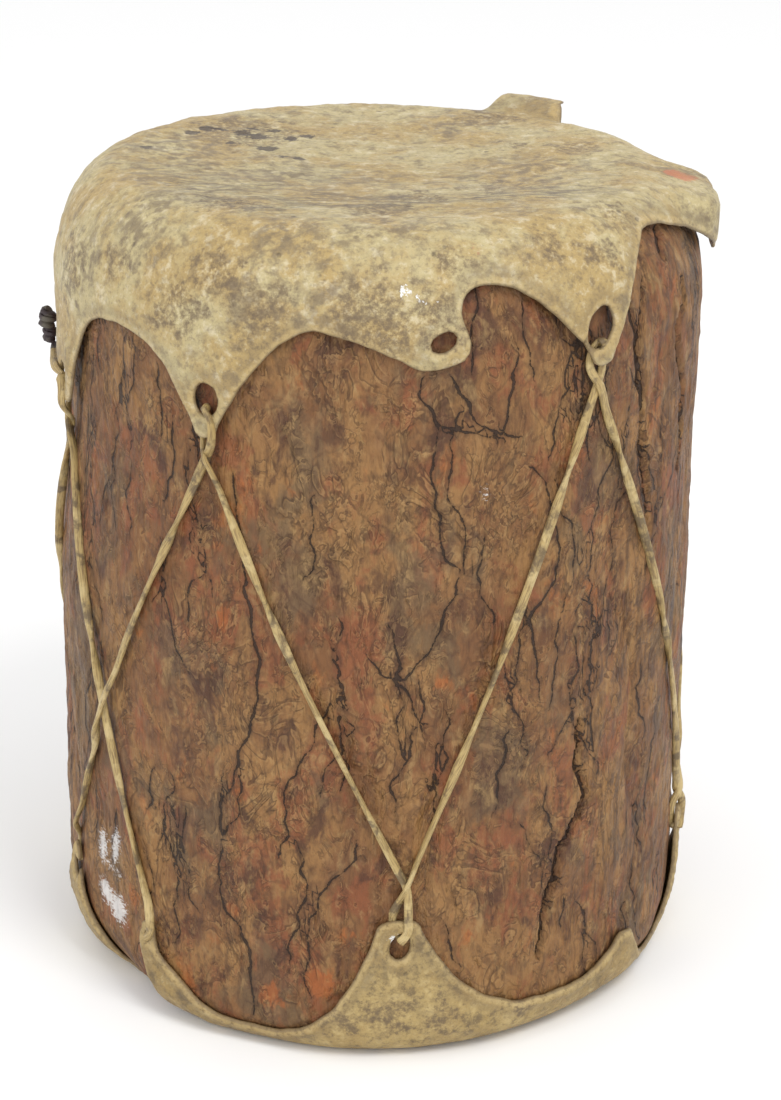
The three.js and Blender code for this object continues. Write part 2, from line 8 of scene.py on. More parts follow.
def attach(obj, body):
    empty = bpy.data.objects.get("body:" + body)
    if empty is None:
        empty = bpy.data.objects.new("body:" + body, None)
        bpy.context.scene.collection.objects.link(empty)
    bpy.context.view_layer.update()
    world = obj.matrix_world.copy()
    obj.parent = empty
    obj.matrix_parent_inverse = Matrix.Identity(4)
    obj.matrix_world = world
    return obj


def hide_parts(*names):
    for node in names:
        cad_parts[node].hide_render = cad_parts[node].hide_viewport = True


# A log drum: a bark shell, a rawhide skin over each end and one thong laced between them.
# Lengths are in millimetres while a form is worked out, and a mesh is made in metres, +Z up.
# A bearing is in degrees round the drum: 0 faces the front (-Y) and it grows towards +X.
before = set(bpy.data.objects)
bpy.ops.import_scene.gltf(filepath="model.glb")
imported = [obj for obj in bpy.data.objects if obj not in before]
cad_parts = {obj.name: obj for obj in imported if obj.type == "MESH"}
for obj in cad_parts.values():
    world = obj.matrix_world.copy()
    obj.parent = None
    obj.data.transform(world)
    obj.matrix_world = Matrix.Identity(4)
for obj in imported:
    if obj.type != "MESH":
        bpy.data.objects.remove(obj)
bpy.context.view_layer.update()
MM = 0.001

# Driving sizes
HEIGHT = 387.0
LOG_RADIUS = 153.0
WALL = 39.0
SHOULDER_WIDTH = 34.0
SHOULDER_HEIGHT = 49.0
HEEL_WIDTH = 12.0
HEEL_HEIGHT = 15.0
SKIN = 2.6
DISH = 5.0
THONG = 4.0
GAP = 0.5
SKIN_GAP = 1.2

# Where the log departs from a true round: its worn heels, the narrower upper left and two lobes.
WORN_HEELS = [
    dict(at=-58, spread=24, width=11, height=20),
    dict(at=-80, spread=20, width=7, height=22),
    dict(at=48, spread=42, width=6, height=6),
    dict(at=84, spread=20, width=3, height=24),
]
TAPER = dict(at=-85, width=6.2, start=185, over=110)
LOBES = [dict(share=0.004, count=2, at=70), dict(share=0.0025, count=3, at=-20)]

PLATE_COUNT = 14
FURROW_DEPTH = 3.0
PRESSED = 1.1
LACED_LIFT = 1.5
LIFT_FADE = 24.0
LOG_TOP = HEIGHT - SKIN - SKIN_GAP
LOG_FOOT = SKIN + SKIN_GAP
BORE_RADIUS = LOG_RADIUS - WALL
CREST_RADIUS = LOG_RADIUS - SHOULDER_WIDTH
SHOULDER_WEIGHT = 42.0
HEEL_WEIGHT = 30.0

# Tabs of the upper skin in order of bearing: the drop of the tip, the half widths and height of
# its round end, the lace hole above the tip, and the crown of the scallop after it. An outline
# gives the edge from the tip to the crown point by point, an eave is a tab that stands out
# stiffly, and the thong's legs stay behind a tucked tab.
TOP_TABS = [
    dict(at=-153.2, drop=87, left=2.3, right=2.3, round=6, laced=True,
         hole=dict(at=-153, up=17, wide=10, high=14, lean=0),
         crown=dict(at=-134, drop=38, before=2.1, after=1.7)),
    dict(at=-113, drop=54, left=4.5, right=3, round=5,
         hole=dict(at=-112.5, up=14, wide=9, high=11, lean=12),
         crown=dict(at=-95, drop=44, before=2.2, after=2)),
    dict(at=-71, drop=103, left=3.6, right=4, round=8, laced=True,
         hole=dict(at=-71.5, up=13.5, wide=9, high=11, lean=0),
         crown=dict(at=-47.9, drop=51, before=3.6, after=2.4)),
    dict(at=-28.8, drop=90.5, left=2.2, right=2.4, round=5.5, laced=True,
         hole=dict(at=-28.3, up=17.5, wide=11.6, high=15, lean=4),
         crown=dict(at=-9.5, drop=38.6, before=1.85, after=1.4)),
    dict(at=7.5, drop=54, left=3, right=7.2, round=4,
         hole=dict(at=10.7, up=12, wide=12, high=7.6, lean=24),
         crown=dict(at=20.1, drop=21, before=8, after=1.66),
         outline=[[5.4, 335.3], [7.5, 333], [9.9, 333.9], [12.2, 335.2], [13.9, 337.2],
                  [14.9, 340.4], [15.1, 344.4], [14.6, 348.6], [13.9, 352.8], [13.7, 357],
                  [14.1, 360.8], [15, 363.8], [16.6, 365.6], [18.2, 366]]),
    dict(at=38.5, drop=59.5, left=2, right=2.3, round=4, laced=True, tucked=True,
         hole=dict(at=38.1, up=16.5, wide=13, high=18.5, lean=-32),
         crown=dict(at=59.7, drop=11.5, before=2.3, after=1.25)),
    dict(at=87.5, drop=34, left=1.8, right=6, round=3, eave=dict(radius=157.2, fold=380, hold=7, spread=9),
         hole=dict(at=90.5, up=15, wide=8, high=16, lean=0),
         crown=dict(at=107, drop=17, before=4, after=2)),
    dict(at=123.6, drop=80, left=2.3, right=2.3, round=6, laced=True,
         hole=dict(at=123.6, up=17, wide=10, high=14, lean=-5),
         crown=dict(at=137, drop=8, before=1.8, after=9)),
    dict(at=146.8, drop=11, left=6.3, right=6.3, round=1, lift=16, plateau=0.5, fade=7, hold=7, spread=3,
         crown=dict(at=158, drop=9, before=9, after=1.5)),
]

# Tabs of the lower skin, with the rise of each tip above the floor.
FOOT_TABS = [
    dict(at=-111.6, rise=66, left=2.4, right=2.4, round=6, laced=True,
         hole=dict(at=-111.6, up=15, wide=9, high=13, lean=0),
         crown=dict(at=-89, rise=11, before=3, after=3.4)),
    dict(at=-67.5, rise=62, left=2, right=2, round=5, laced=True,
         hole=dict(at=-67.5, up=14, wide=7, high=12, lean=0),
         crown=dict(at=-44.2, rise=43, before=4, after=1),
         outline=[[-67.5, 62], [-66.6, 60.5], [-66.1, 56], [-65.7, 47], [-64.4, 38], [-62.4, 30], [-59.5, 22],
                  [-57, 14], [-55.4, 7.5], [-45, 4], [-33, 3.2], [-35.5, 5], [-38.2, 7.5], [-40.7, 12.8],
                  [-42.6, 20.3], [-43.9, 30], [-44.5, 38]]),
    dict(at=-42, rise=50, left=1.6, right=1.4, round=5, laced=True,
         hole=dict(at=-42.2, up=9, wide=3, high=6, lean=0),
         crown=dict(at=-20.7, rise=11.5, before=2.9, after=3.3),
         outline=[[-43.6, 48], [-42.6, 50], [-41.4, 49.4], [-40.6, 46], [-40.4, 40], [-39.8, 35],
                  [-37.9, 30.4], [-35.6, 26.5], [-32.9, 20.9], [-30.8, 16.4], [-27.1, 13],
                  [-23.2, 11.6]]),
    dict(at=6.2, rise=74, left=4.9, right=2.8, round=6, laced=True, join=17,
         hole=dict(at=5.3, up=14, wide=9, high=14, lean=-14),
         crown=dict(at=36, rise=21.5, before=3.1, after=2.4)),
    dict(at=52.6, rise=35, left=3, right=2.5, round=3,
         crown=dict(at=66, rise=12, before=3.4, after=3.4)),
    dict(at=82, rise=66, left=2, right=2.2, round=6, laced=True,
         hole=dict(at=82, up=15, wide=8, high=13, lean=0),
         crown=dict(at=118, rise=12, before=3.4, after=3.2)),
    dict(at=165.2, rise=68, left=2.4, right=2.4, round=6, laced=True,
         hole=dict(at=165.2, up=15, wide=9, high=13, lean=0),
         crown=dict(at=206, rise=12, before=3.2, after=3.2)),
]
LACED_ORDER = [-42, -71, -111.6, -153.2, 165.2, 123.6, 82, 38.5, 6.2, -28.8, -67.5]
KNOT = dict(at=-88, drop=77, lumps=[4.8, 4.2], spacing=8, turns=3.6, steps=44, squeeze=0.95)

# Small helpers


def lerp(start, end, share):
    return start + (end - start) * share


def smooth(share):
    held = np.clip(share, 0, 1)
    return held * held * (3 - 2 * held)


def turn(start, end):
    return (end - start + 180) % 360 - 180


def noise(points, cell, seed, octaves=1):
    """Smooth gradient noise, about -1 to 1. A cell is the size of its patches in millimetres."""
    draw = np.random.default_rng(seed)
    order = draw.permutation(256)
    slopes = draw.normal(size=(256, 3))
    slopes /= np.linalg.norm(slopes, axis=1, keepdims=True)
    place_in_cells = np.asarray(points, float) / np.asarray(cell, float)
    total = 0.0
    strength = 1.0
    reach = 0.0
    for _ in range(octaves):
        corner = np.floor(place_in_cells).astype(int)
        within = place_in_cells - corner
        fade = within ** 3 * (within * (within * 6 - 15) + 10)
        for dx in (0, 1):
            for dy in (0, 1):
                for dz in (0, 1):
                    step = np.array([dx, dy, dz])
                    at = corner + step
                    index = order[(order[(order[at[..., 0] & 255] + at[..., 1]) & 255] + at[..., 2]) & 255]
                    weight = np.prod(np.where(step == 1, fade, 1 - fade), axis=-1)
                    total = total + strength * weight * (slopes[index] * (within - step)).sum(-1)
        reach += strength
        strength *= 0.5
        place_in_cells = place_in_cells * 2 + 17.3
    return 1.6 * total / reach


def make_piece(name, points, faces, material, attributes):
    mesh = bpy.data.meshes.new(name)
    mesh.from_pydata((np.asarray(points) * MM).tolist(), [], faces)
    mesh.materials.append(material)
    mesh.shade_smooth()
    for key, values in attributes.items():
        layer = mesh.attributes.new(key, "FLOAT", "POINT")
        layer.data.foreach_set("value", np.asarray(values, np.float32).ravel())
    piece = bpy.data.objects.new(name, mesh)
    bpy.context.scene.collection.objects.link(piece)
    return piece


def stand_for(piece, node):
    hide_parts(node)
    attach(piece, "root")


# The log's side as a profile


def place(bearing, radius, z):
    bearing, radius, z = np.broadcast_arrays(bearing, radius, z)
    out = radius * 1.0
    for lobe in LOBES:
        out = out + radius * lobe["share"] * np.cos(lobe["count"] * np.radians(bearing - lobe["at"]))
    angle = np.radians(bearing)
    return np.stack([out * np.sin(angle), -out * np.cos(angle), z * 1.0], axis=-1)


def heel_at(bearing):
    width, height = HEEL_WIDTH, HEEL_HEIGHT
    for heel in WORN_HEELS:
        worn = smooth(1 - np.abs(turn(heel["at"], bearing)) / heel["spread"])
        width, height = width + heel["width"] * worn, height + heel["height"] * worn
    return width, height


def trunk_radius(bearing, z):
    facing = (1 + np.cos(np.radians(bearing - TAPER["at"]))) / 2
    return LOG_RADIUS - TAPER["width"] * facing * smooth((z - TAPER["start"]) / TAPER["over"])


def log_side(bearing, z):
    """The log's radius at a height, and its outward normal as (out, up)."""
    heel_width, heel_height = heel_at(bearing)
    trunk = trunk_radius(bearing, z)
    upper = np.clip((z - (LOG_TOP - SHOULDER_HEIGHT)) / SHOULDER_HEIGHT, 0, 1)
    lower = np.clip((LOG_FOOT + heel_height - z) / heel_height, 0, 1)
    on_shoulder = upper > 0
    sine = np.where(on_shoulder, upper, lower)
    width = np.where(on_shoulder, trunk - CREST_RADIUS, heel_width)
    height = np.where(on_shoulder, SHOULDER_HEIGHT, heel_height)
    cosine = np.sqrt(1 - sine ** 2)
    out = height * cosine
    up = np.where(on_shoulder, 1, -1) * width * sine
    length = np.hypot(out, up)
    return trunk - width * (1 - cosine), out / length, up / length


def off_log(bearing, z, distance):
    radius, out, up = log_side(bearing, z)
    return place(bearing, radius + distance * out, z + distance * up)


def unrolled(bearing):
    return np.radians(bearing) * LOG_RADIUS


# Cracks of the bark as [bearing, height] along each, with its width and depth.
SEEN_CRACKS = [
    dict(width=2.2, depth=5.5, along=[[38.4, 159], [38.2, 136], [41.2, 118], [35.2, 95], [33, 70],
                                      [31.4, 40]]),
    dict(width=1.4, depth=4.0, along=[[26.9, 285], [28.8, 279], [31, 265], [32.4, 248],
                                      [31.6, 231], [27, 215], [28.2, 200], [29.6, 175]]),
    dict(width=1.8, depth=4.5, along=[[52.6, 357], [49, 328], [51.7, 294], [55, 240]]),
    dict(width=1.3, depth=2.5, along=[[7.4, 330], [7, 323], [9, 315], [10.3, 308], [16, 304], [21.2, 300]]),
    dict(width=1.3, depth=2.5, along=[[23.4, 340], [22.4, 318], [21, 300]]),
    dict(width=0.9, depth=2.0, along=[[10.3, 310], [9.2, 285], [10.7, 264], [11.3, 248],
                                      [14.2, 243], [13.8, 232], [11.5, 223], [11.1, 214],
                                      [8.4, 203], [5.8, 192], [1.8, 194], [-0.4, 204]]),
    dict(width=0.9, depth=2.0, along=[[4.7, 190], [6.3, 183], [7.7, 174], [9, 163]]),
    dict(width=1.2, depth=2.5, along=[[12.2, 329], [15.1, 318], [16.4, 308], [19.8, 304], [23.9, 300]]),
    dict(width=1.4, depth=2.5, along=[[-31.3, 312], [-31.8, 296], [-30.5, 281]]),
    dict(width=1.3, depth=3.5, along=[[-24, 280], [-22.3, 243], [-18.8, 194], [-20.2, 169], [-25.5, 125]]),
    dict(width=1.1, depth=3.0, along=[[-26.1, 137], [-26.2, 107], [-22.7, 119], [-22.6, 140]]),
    dict(width=1.3, depth=4.0, along=[[-26.2, 102], [-27, 88], [-25.7, 68], [-22.9, 62],
                                      [-21, 50], [-20.5, 16]]),
    dict(width=1.0, depth=2.0, along=[[-36.5, 301], [-36.1, 278], [-38.5, 262]]),
    dict(width=1.0, depth=2.0, along=[[-39.7, 321], [-38.8, 290]]),
    dict(width=2.6, depth=4.0, along=[[63.4, 374], [61.2, 369], [60.2, 362]]),
    dict(width=2.0, depth=4.0, along=[[65.4, 350], [65.3, 340], [62.6, 330], [63.7, 316],
                                      [66.1, 302], [66.4, 283], [66.5, 258]]),
    dict(width=1.8, depth=3.5, along=[[48.2, 357], [46.8, 347], [48.5, 340], [49.2, 327],
                                      [50.6, 318], [51.9, 308], [52.0, 294]]),
]
FINE_CRACKS = 330
CRACK_REACH = 12.0
CUT_WIDTH = 1.7
BARK_SWELL = 0.7

# Patches of old chalk on the bark: bearing, height, size, lean.
CHALK = [
    dict(at=-57.4, z=71, wide=11, high=22, lean=-8),
    dict(at=-52.8, z=76, wide=10, high=23, lean=-8),
    dict(at=-54.8, z=63, wide=22, high=6, lean=-8),
    dict(at=-56.4, z=47, wide=19, high=16, lean=-30),
    dict(at=-52.4, z=43, wide=19, high=19, lean=-40),
    dict(at=18.4, z=275, wide=5, high=7, lean=0),
]

# Stains as (x, y, z, size), by their colour.
BARK_STAINS = dict(
    dark=[(-18, -153, 303, 9), (-15, -154, 292, 7), (-42, -148, 254, 4), (5, -154, 236, 6),
          (24, -152, 268, 7), (-31, -151, 220, 5), (-89, -126, 247, 6), (-70, -137, 79, 9),
          (-83, -130, 54, 8), (60, -141, 350, 10), (-5, -154, 318, 8), (40, -148, 225, 8),
          (75, -133, 205, 7), (-30, -151, 46, 7), (-95, -121, 210, 6)],
    orange=[(-69, -138, 247, 4), (-48, -147, 250, 3.5), (-38, -150, 320, 3), (-44, -148, 301, 3),
            (-11, -154, 64, 6), (-113, -105, 55, 5), (-60, -141, 70, 4), (30, -150, 190, 4),
            (-22, -153, 40, 9), (-68, -138, 215, 5), (-62, -140, 130, 5), (45, -146, 60, 5),
            (-45, -147, 28, 7)],
)
HIDE_STAINS = dict(
    spot=[(-90, 54, 386.6, 5.0), (-84, 62, 386.6, 5.0), (-76, 62, 386.2, 3.5), (-66, 57, 385.4, 5.0),
          (-58, 52, 384.7, 5.5), (-53, 32, 383.6, 6.0), (-45, 18, 383.0, 3.5), (-42, 51, 383.8, 4.5),
          (-35, 57, 383.8, 4.5), (-37, 16, 382.7, 4.0), (-109, 19, 386.8, 4.0), (-70, 38, 384.9, 3.5),
          (-62, 67, 385.7, 4.0), (-51, 64, 385.0, 4.0), (-102, -112, 376, 2), (-32, -150, 361, 2)],
    grime=[(-65, 58, 385, 26), (-61, -84, 385, 16), (-1, -86, 385, 16), (-143, -62, 352, 17),
           (-117, -95, 364, 9), (-69, -130, 368, 12), (-87, -127, 353, 13), (-50, -144, 358, 13),
           (-8, -150, 362, 12), (-1, -151, 353, 20), (24, -150, 355, 13), (31, -138, 377, 7),
           (73, -118, 385, 9), (103, -82, 385, 11), (98, -108, 374, 9), (55, 91, 385, 16),
           (94, 33, 385, 12), (65, 42, 385, 8), (16, -58, 385, 14), (50, -38, 385, 12),
           (8, -154, 26, 12), (-10, -154, 22, 10), (33, -151, 22, 10), (70, -138, 20, 10)],
    red=[(140, -6, 380, 9), (88, 140, 385, 7), (41, -130, 381, 2)],
    white=[(12, -148, 367, 3.6), (18, -149, 365, 3.2), (24, -149, 362, 2.6), (-19, -120, 384, 2),
           (12, -156, 65, 3)],
)


def stain_field(points, stains):
    """How far inside the nearest of some round stains each place lies, in millimetres."""
    field = np.full(len(points), -30.0)
    for x, y, z, size in stains:
        field = np.maximum(field, size - np.linalg.norm(points - (x, y, z), axis=1))
    return field


def wandering(along, seed):
    """The same line in short steps, shaken a little from side to side."""
    bearing, z = np.array(along, float).T
    reach = np.concatenate([[0], np.cumsum(np.hypot(np.diff(unrolled(bearing)), np.diff(z)))])
    steps = np.arange(0, reach[-1], 2.5)
    bearing = np.interp(steps, reach, bearing)
    z = np.interp(steps, reach, z)
    shake = noise(np.stack([steps, steps * 0, steps * 0 + seed * 31.7], -1), 7, seed, 2)
    return bearing + 1.1 * shake, z


def fine_cracks():
    """Short upright cracks all round, closer together where the bark is rough."""
    draw = np.random.default_rng(41)
    for _ in range(FINE_CRACKS):
        start = draw.uniform(-180, 180)
        if abs(start + 8) < 38 and draw.uniform() < 0.6:
            start += draw.choice([-60, 60, 180])
        foot = draw.uniform(14, 330)
        count = int(draw.uniform(4, 18))
        lean = draw.normal(0, 0.3)
        drift = np.cumsum(draw.normal(lean, 0.75, count))
        heights = foot + np.cumsum(draw.uniform(3, 7, count))
        kept = heights < LOG_TOP - 8
        if kept.sum() < 3:
            continue
        along = np.stack([start + drift, heights], -1)[kept]
        yield dict(width=0.12 + 0.8 * draw.uniform() ** 2.2, depth=draw.uniform(1.5, 3), along=along)


def crack_field(bearing, z):
    """For each place, the nearest crack's rim and half width there, the signed distance to its
    middle and how deep the bark is cut. The sign is the side of the crack the place lies on."""
    field = np.full(bearing.shape, CRACK_REACH)
    width = np.zeros(bearing.shape)
    side = np.full(bearing.shape, CRACK_REACH)
    depth = np.zeros(bearing.shape)
    cracks = SEEN_CRACKS + list(fine_cracks())
    for seed, crack in enumerate(cracks):
        line_bearing, line_z = wandering(crack["along"], seed + 3)
        if len(line_z) < 3:
            continue
        middle = line_bearing.mean()
        span = np.abs(line_bearing - middle).max() + np.degrees(CRACK_REACH / LOG_RADIUS)
        near = (np.abs(turn(middle, bearing)) < span) & (z > line_z.min() - CRACK_REACH)
        near &= z < line_z.max() + CRACK_REACH
        here = np.stack([unrolled(turn(middle, bearing[near])), z[near]], -1)[:, None]
        line = np.stack([unrolled(line_bearing - middle), line_z], -1)
        start, step = line[None, :-1], np.diff(line, axis=0)[None]
        share = np.clip(((here - start) * step).sum(-1) / (step ** 2).sum(-1), 0, 1)
        apart = np.linalg.norm(here - start - share[..., None] * step, axis=-1)
        along = (np.arange(step.shape[1])[None] + share) / step.shape[1]
        half = 0.3 * crack["width"] * (1 - np.abs(2 * along - 1) ** 3)
        nearest = (apart - half).argmin(axis=1)
        row = np.arange(len(nearest))
        rim = (apart - half)[row, nearest]
        beyond = here[:, 0] - start[0, nearest]
        heading = step[0, nearest]
        turned = np.sign(heading[:, 0] * beyond[:, 1] - heading[:, 1] * beyond[:, 0])
        closer = rim < field[near]
        nearer = (field, rim), (width, half[row, nearest]), (side, turned * apart[row, nearest])
        for values, fresh in nearer:
            values[near] = np.where(closer, fresh, values[near])
        if crack["width"] > CUT_WIDTH:
            deeper = 0.7 * crack["depth"] * (1 - smooth((rim + 0.6) / 2.8))
            depth[near] = np.maximum(depth[near], deeper)
    return field, width, side, depth


def oval_field(across, up, oval):
    """About how far inside an oval a place is, in millimetres, below 0 outside it."""
    lean = math.radians(oval["lean"])
    u = across * math.cos(lean) + up * math.sin(lean)
    v = up * math.cos(lean) - across * math.sin(lean)
    half_u, half_v = oval["wide"] / 2, oval["high"] / 2
    ratio = np.hypot(u / half_u, v / half_v) + 1e-9
    slope = np.hypot(u / half_u ** 2, v / half_v ** 2) + 1e-9
    return ratio * (1 - ratio) / slope


def chalk_field(bearing, z):
    field = np.full(bearing.shape, -9.0)
    for patch in CHALK:
        inside = oval_field(unrolled(turn(patch["at"], bearing)), z - patch["z"], patch)
        field = np.maximum(field, inside)
    return np.clip(field, -9, 9)


def furrow(bearing, z):
    wander = 5 * np.sin(z / 41 + bearing / 23) + 2.5 * np.sin(z / 19 - bearing / 11)
    ridge = np.abs(np.sin(np.radians((bearing + wander) * PLATE_COUNT) / 2))
    return FURROW_DEPTH * (1 - np.sqrt(ridge))


BARK_COLUMNS = 540
BARK_ROW = 2.35
FLAKE_STEP = 0.32
FLAKE_LEVELS = 3.4
DEEPEST = 5.5
GRIP_TOP = 95.0


def roughness(bearing):
    """The bark is smoother at the front, and rough with deep furrows at the sides and back."""
    return smooth((np.abs(turn(-8, bearing)) - 36) / 20)


def bark_relief(bearing, z, points):
    """How deep each place lies below the log's side, below 0 where the bark stands out from it,
    and what the colours follow."""
    drift = np.stack([noise(points, 34, seed, 2) for seed in (11, 12, 13)], axis=-1)
    flake = FLAKE_LEVELS * noise(points + 13 * drift, (23, 23, 52), 21, 3)
    level = np.floor(flake)
    face = level + smooth((flake - level - 0.7) / 0.3)
    depth = FLAKE_STEP * np.clip(FLAKE_LEVELS * 0.55 - face, 0, None)
    rough = roughness(bearing)
    depth = depth + lerp(0.15, 1.2, rough) * furrow(bearing, z)
    depth = depth + 0.3 * (1 + noise(points, (5, 5, 11), 22, 2)) * lerp(0.8, 2.2, rough)
    low = z < GRIP_TOP
    gripped = np.zeros(z.shape)
    gripped[low] = smooth((edge_field(FOOT_TABS, bearing[low], z[low]) + 9) / 7)
    depth = depth * lerp(1, 0.25, gripped)
    crack, width, side, cut = crack_field(bearing, z)
    fields = dict(crack=crack, crack_half=width, crack_side=side, flake=flake, rough=rough)
    return np.minimum(depth, DEEPEST) + cut * (1 - gripped) - BARK_SWELL * (1 - gripped), fields


def grid_faces(rows, columns):
    """Quads of a grid that is closed round its columns, with rows counted from the top down."""
    row, column = np.meshgrid(np.arange(rows - 1), np.arange(columns), indexing="ij")
    here = row * columns + column
    beside = row * columns + (column + 1) % columns
    return np.stack([here, here + columns, beside + columns, beside], -1).reshape(-1, 4)


def make_bark(material, cut_material):
    bearings = np.arange(BARK_COLUMNS) * 360 / BARK_COLUMNS - 180
    heel_height = heel_at(bearings)[1]
    side_top = LOG_TOP - SHOULDER_HEIGHT
    shoulder_rows = int(SHOULDER_WEIGHT * math.pi / 2 / BARK_ROW)
    side_rows = int((side_top - LOG_FOOT - HEEL_HEIGHT) / BARK_ROW)
    heel_rows = 9
    angles = np.linspace(0, math.pi / 2, shoulder_rows + 1)[:, None]
    shoulder = LOG_TOP - SHOULDER_HEIGHT * (1 - np.cos(angles)) + 0 * bearings
    shares = np.linspace(0, 1, side_rows + 1)[1:, None]
    side = lerp(side_top, LOG_FOOT + heel_height, shares)
    angles = np.linspace(0, math.pi / 2, heel_rows + 1)[1:, None]
    heel = LOG_FOOT + heel_height * (1 - np.sin(angles))
    z = np.vstack([shoulder, side, heel])
    bearing = bearings + 0 * z
    radius, out, up = log_side(bearing, z)
    depth, fields = bark_relief(bearing, z, place(bearing, radius, z))
    fields["chalk"] = chalk_field(bearing, z)
    for colour, stains in BARK_STAINS.items():
        fields[colour] = stain_field(place(bearing, radius, z).reshape(-1, 3), stains)
    covered = smooth((z - side_top) / 12)
    kept = np.clip((z - LOG_FOOT) / 12, 0, 1)
    kept = np.where(depth < 0, kept * (1 - covered), lerp(kept, 0.8, covered))
    depth = lerp(GAP / 2, PRESSED, covered) + kept * depth
    points = place(bearing, radius - depth * out, np.maximum(z - depth * up, LOG_FOOT))
    lip = CREST_RADIUS - BORE_RADIUS
    inner = [
        (BORE_RADIUS + lip, LOG_FOOT + GAP),
        (BORE_RADIUS, LOG_FOOT + lip),
        (BORE_RADIUS, LOG_TOP - PRESSED - lip * 1.4),
        (BORE_RADIUS + lip * 0.3, LOG_TOP - PRESSED - lip * 0.35),
    ]
    rings = [place(bearings, radius, height) for radius, height in inner]
    rows = len(points) + len(rings)
    points = np.vstack([points.reshape(-1, 3), np.vstack(rings)])
    faces = grid_faces(rows, BARK_COLUMNS)
    last = (rows - 1) * BARK_COLUMNS
    column = np.arange(BARK_COLUMNS)
    beside = (column + 1) % BARK_COLUMNS
    faces = np.vstack([faces, np.stack([last + column, column, beside, last + beside], -1)])
    inside = len(rings) * BARK_COLUMNS
    fields = {key: np.concatenate([values.ravel(), np.zeros(inside)]) for key, values in fields.items()}
    piece = make_piece("bark_log", points, faces.tolist(), material, fields)
    piece.data.materials.append(cut_material)
    slots = np.zeros(len(faces), int)
    slots[-(len(rings) + 1) * BARK_COLUMNS:] = 1
    piece.data.polygons.foreach_set("material_index", slots)
    stand_for(piece, "log_shell")


# The skins


def tip_height(tab):
    return HEIGHT - tab["drop"] if "drop" in tab else tab["rise"]


def inward(tab):
    return 1 if "drop" in tab else -1


def cut_edge(tabs):
    """Bearings and heights of close points along a skin's cut edge, once round the drum."""
    bearings, heights = [], []
    along = np.linspace(0, 1, 40, endpoint=False)
    for index, tab in enumerate(tabs):
        tip = tip_height(tab)
        end = tip + inward(tab) * tab["round"]
        before = tabs[index - 1]["crown"]
        after = tab["crown"]
        rising = before["after"], before, -tab["left"]
        falling = after["before"], after, tab["right"]
        for (fullness, crown, edge), shares in ((rising, along), (falling, 1 - along)):
            if shares is not along and "outline" in tab:
                drawn = np.array(tab["outline"], float)
                bearings.append(drawn[:, 0])
                heights.append(drawn[:, 1])
                continue
            if shares is not along:
                lip = np.linspace(-math.pi / 2, math.pi / 2, 15)[1:-1]
                half = np.where(lip < 0, tab["left"], tab["right"])
                bearings.append(tab["at"] + half * np.sin(lip))
                heights.append(end - inward(tab) * tab["round"] * np.cos(lip))
            bearings.append(tab["at"] + lerp(turn(tab["at"], crown["at"]), edge, shares))
            heights.append(lerp(tip_height(crown), end, shares ** fullness))
    bearings = np.concatenate(bearings)
    heights = np.concatenate(heights)
    round_place = place(bearings, LOG_RADIUS, heights)
    shake = 0.9 if "drop" in tabs[0] else 1.5
    return bearings, heights + shake * noise(round_place, 9, 61, 2)


def edge_field(tabs, bearing, z):
    """How far inside its cut edge and its holes a place of the skin lies, in millimetres."""
    line_bearing, line_z = cut_edge(tabs)
    line = np.stack([unrolled(line_bearing), line_z], -1)
    lap = 2 * math.pi * LOG_RADIUS
    shifts = [np.array([shift * lap, 0]) for shift in (-1, 0, 1)]
    line = np.vstack([line + shift for shift in shifts])
    line = line[np.abs(line[:, 0]) < 0.6 * lap + 60]
    start, step = line[:-1], np.diff(line, axis=0)
    here = np.stack([unrolled(turn(0, bearing)), z], -1).reshape(-1, 2)
    side = inward(tabs[0])
    field = np.empty(len(here))
    for first in range(0, len(here), 2000):
        some = here[first:first + 2000, None]
        share = np.clip(((some - start) * step).sum(-1) / (step ** 2).sum(-1), 0, 1)
        apart = np.linalg.norm(some - start - share[..., None] * step, axis=-1).min(axis=1)
        reach = (some[..., 0] - start[:, 0]) / np.where(step[:, 0] == 0, 1e-9, step[:, 0])
        passed = (reach >= 0) & (reach < 1)
        beyond = side * (start[:, 1] + reach * step[:, 1] - some[..., 1]) > 0
        crossings = (passed & beyond).sum(axis=1)
        field[first:first + 2000] = np.where(crossings % 2 == 0, apart, -apart)
    field = field.reshape(np.shape(bearing))
    for tab in tabs:
        if "hole" in tab:
            hole = tab["hole"]
            middle = tip_height(tab) + inward(tab) * hole["up"]
            radius, out, _ = log_side(hole["at"], middle)
            across = np.radians(turn(hole["at"], bearing)) * radius
            shake = 0.5 * noise(np.stack([across, z, 0 * z + hole["at"]], -1), 5, 62)
            field = np.minimum(field, shake - oval_field(across, (z - middle) / max(out, 0.3), hole))
    return field


def eave_base(tabs, tab, sheet, bearing, station):
    """The same as sheet_base for a stiff tab that stands out like an eave: level from the rim to
    its fold, then straight down to its tip."""
    line_bearing, line_z = cut_edge(tabs)
    off = turn(tab["at"], line_bearing)
    near = np.abs(off) < 25
    order = np.argsort(off[near])
    edge_z = np.interp(turn(tab["at"], bearing), off[near][order], line_z[near][order])
    reach = sheet["rim"] - edge_z
    length = np.arccos(1 - np.minimum(reach, SHOULDER_HEIGHT) / SHOULDER_HEIGHT) * SHOULDER_WEIGHT
    share = (station - sheet["rings"]) * sheet["row"] / (length + np.maximum(0, reach - SHOULDER_HEIGHT))
    level = tab["eave"]["radius"] - SKIN - SKIN_GAP - CREST_RADIUS
    along = share * (level + tab["eave"]["fold"] - edge_z)
    past = 1 / (1 + np.exp((level - along) / EAVE_BEND))
    over = EAVE_BEND * np.logaddexp(0, (along - level) / EAVE_BEND)
    slope = lerp(HEIGHT, tab["eave"]["fold"], np.clip(along / level, 0, 1))
    length = np.hypot(past, 1 - past)
    return CREST_RADIUS + along - over, slope - over - SKIN - SKIN_GAP, past / length, (1 - past) / length


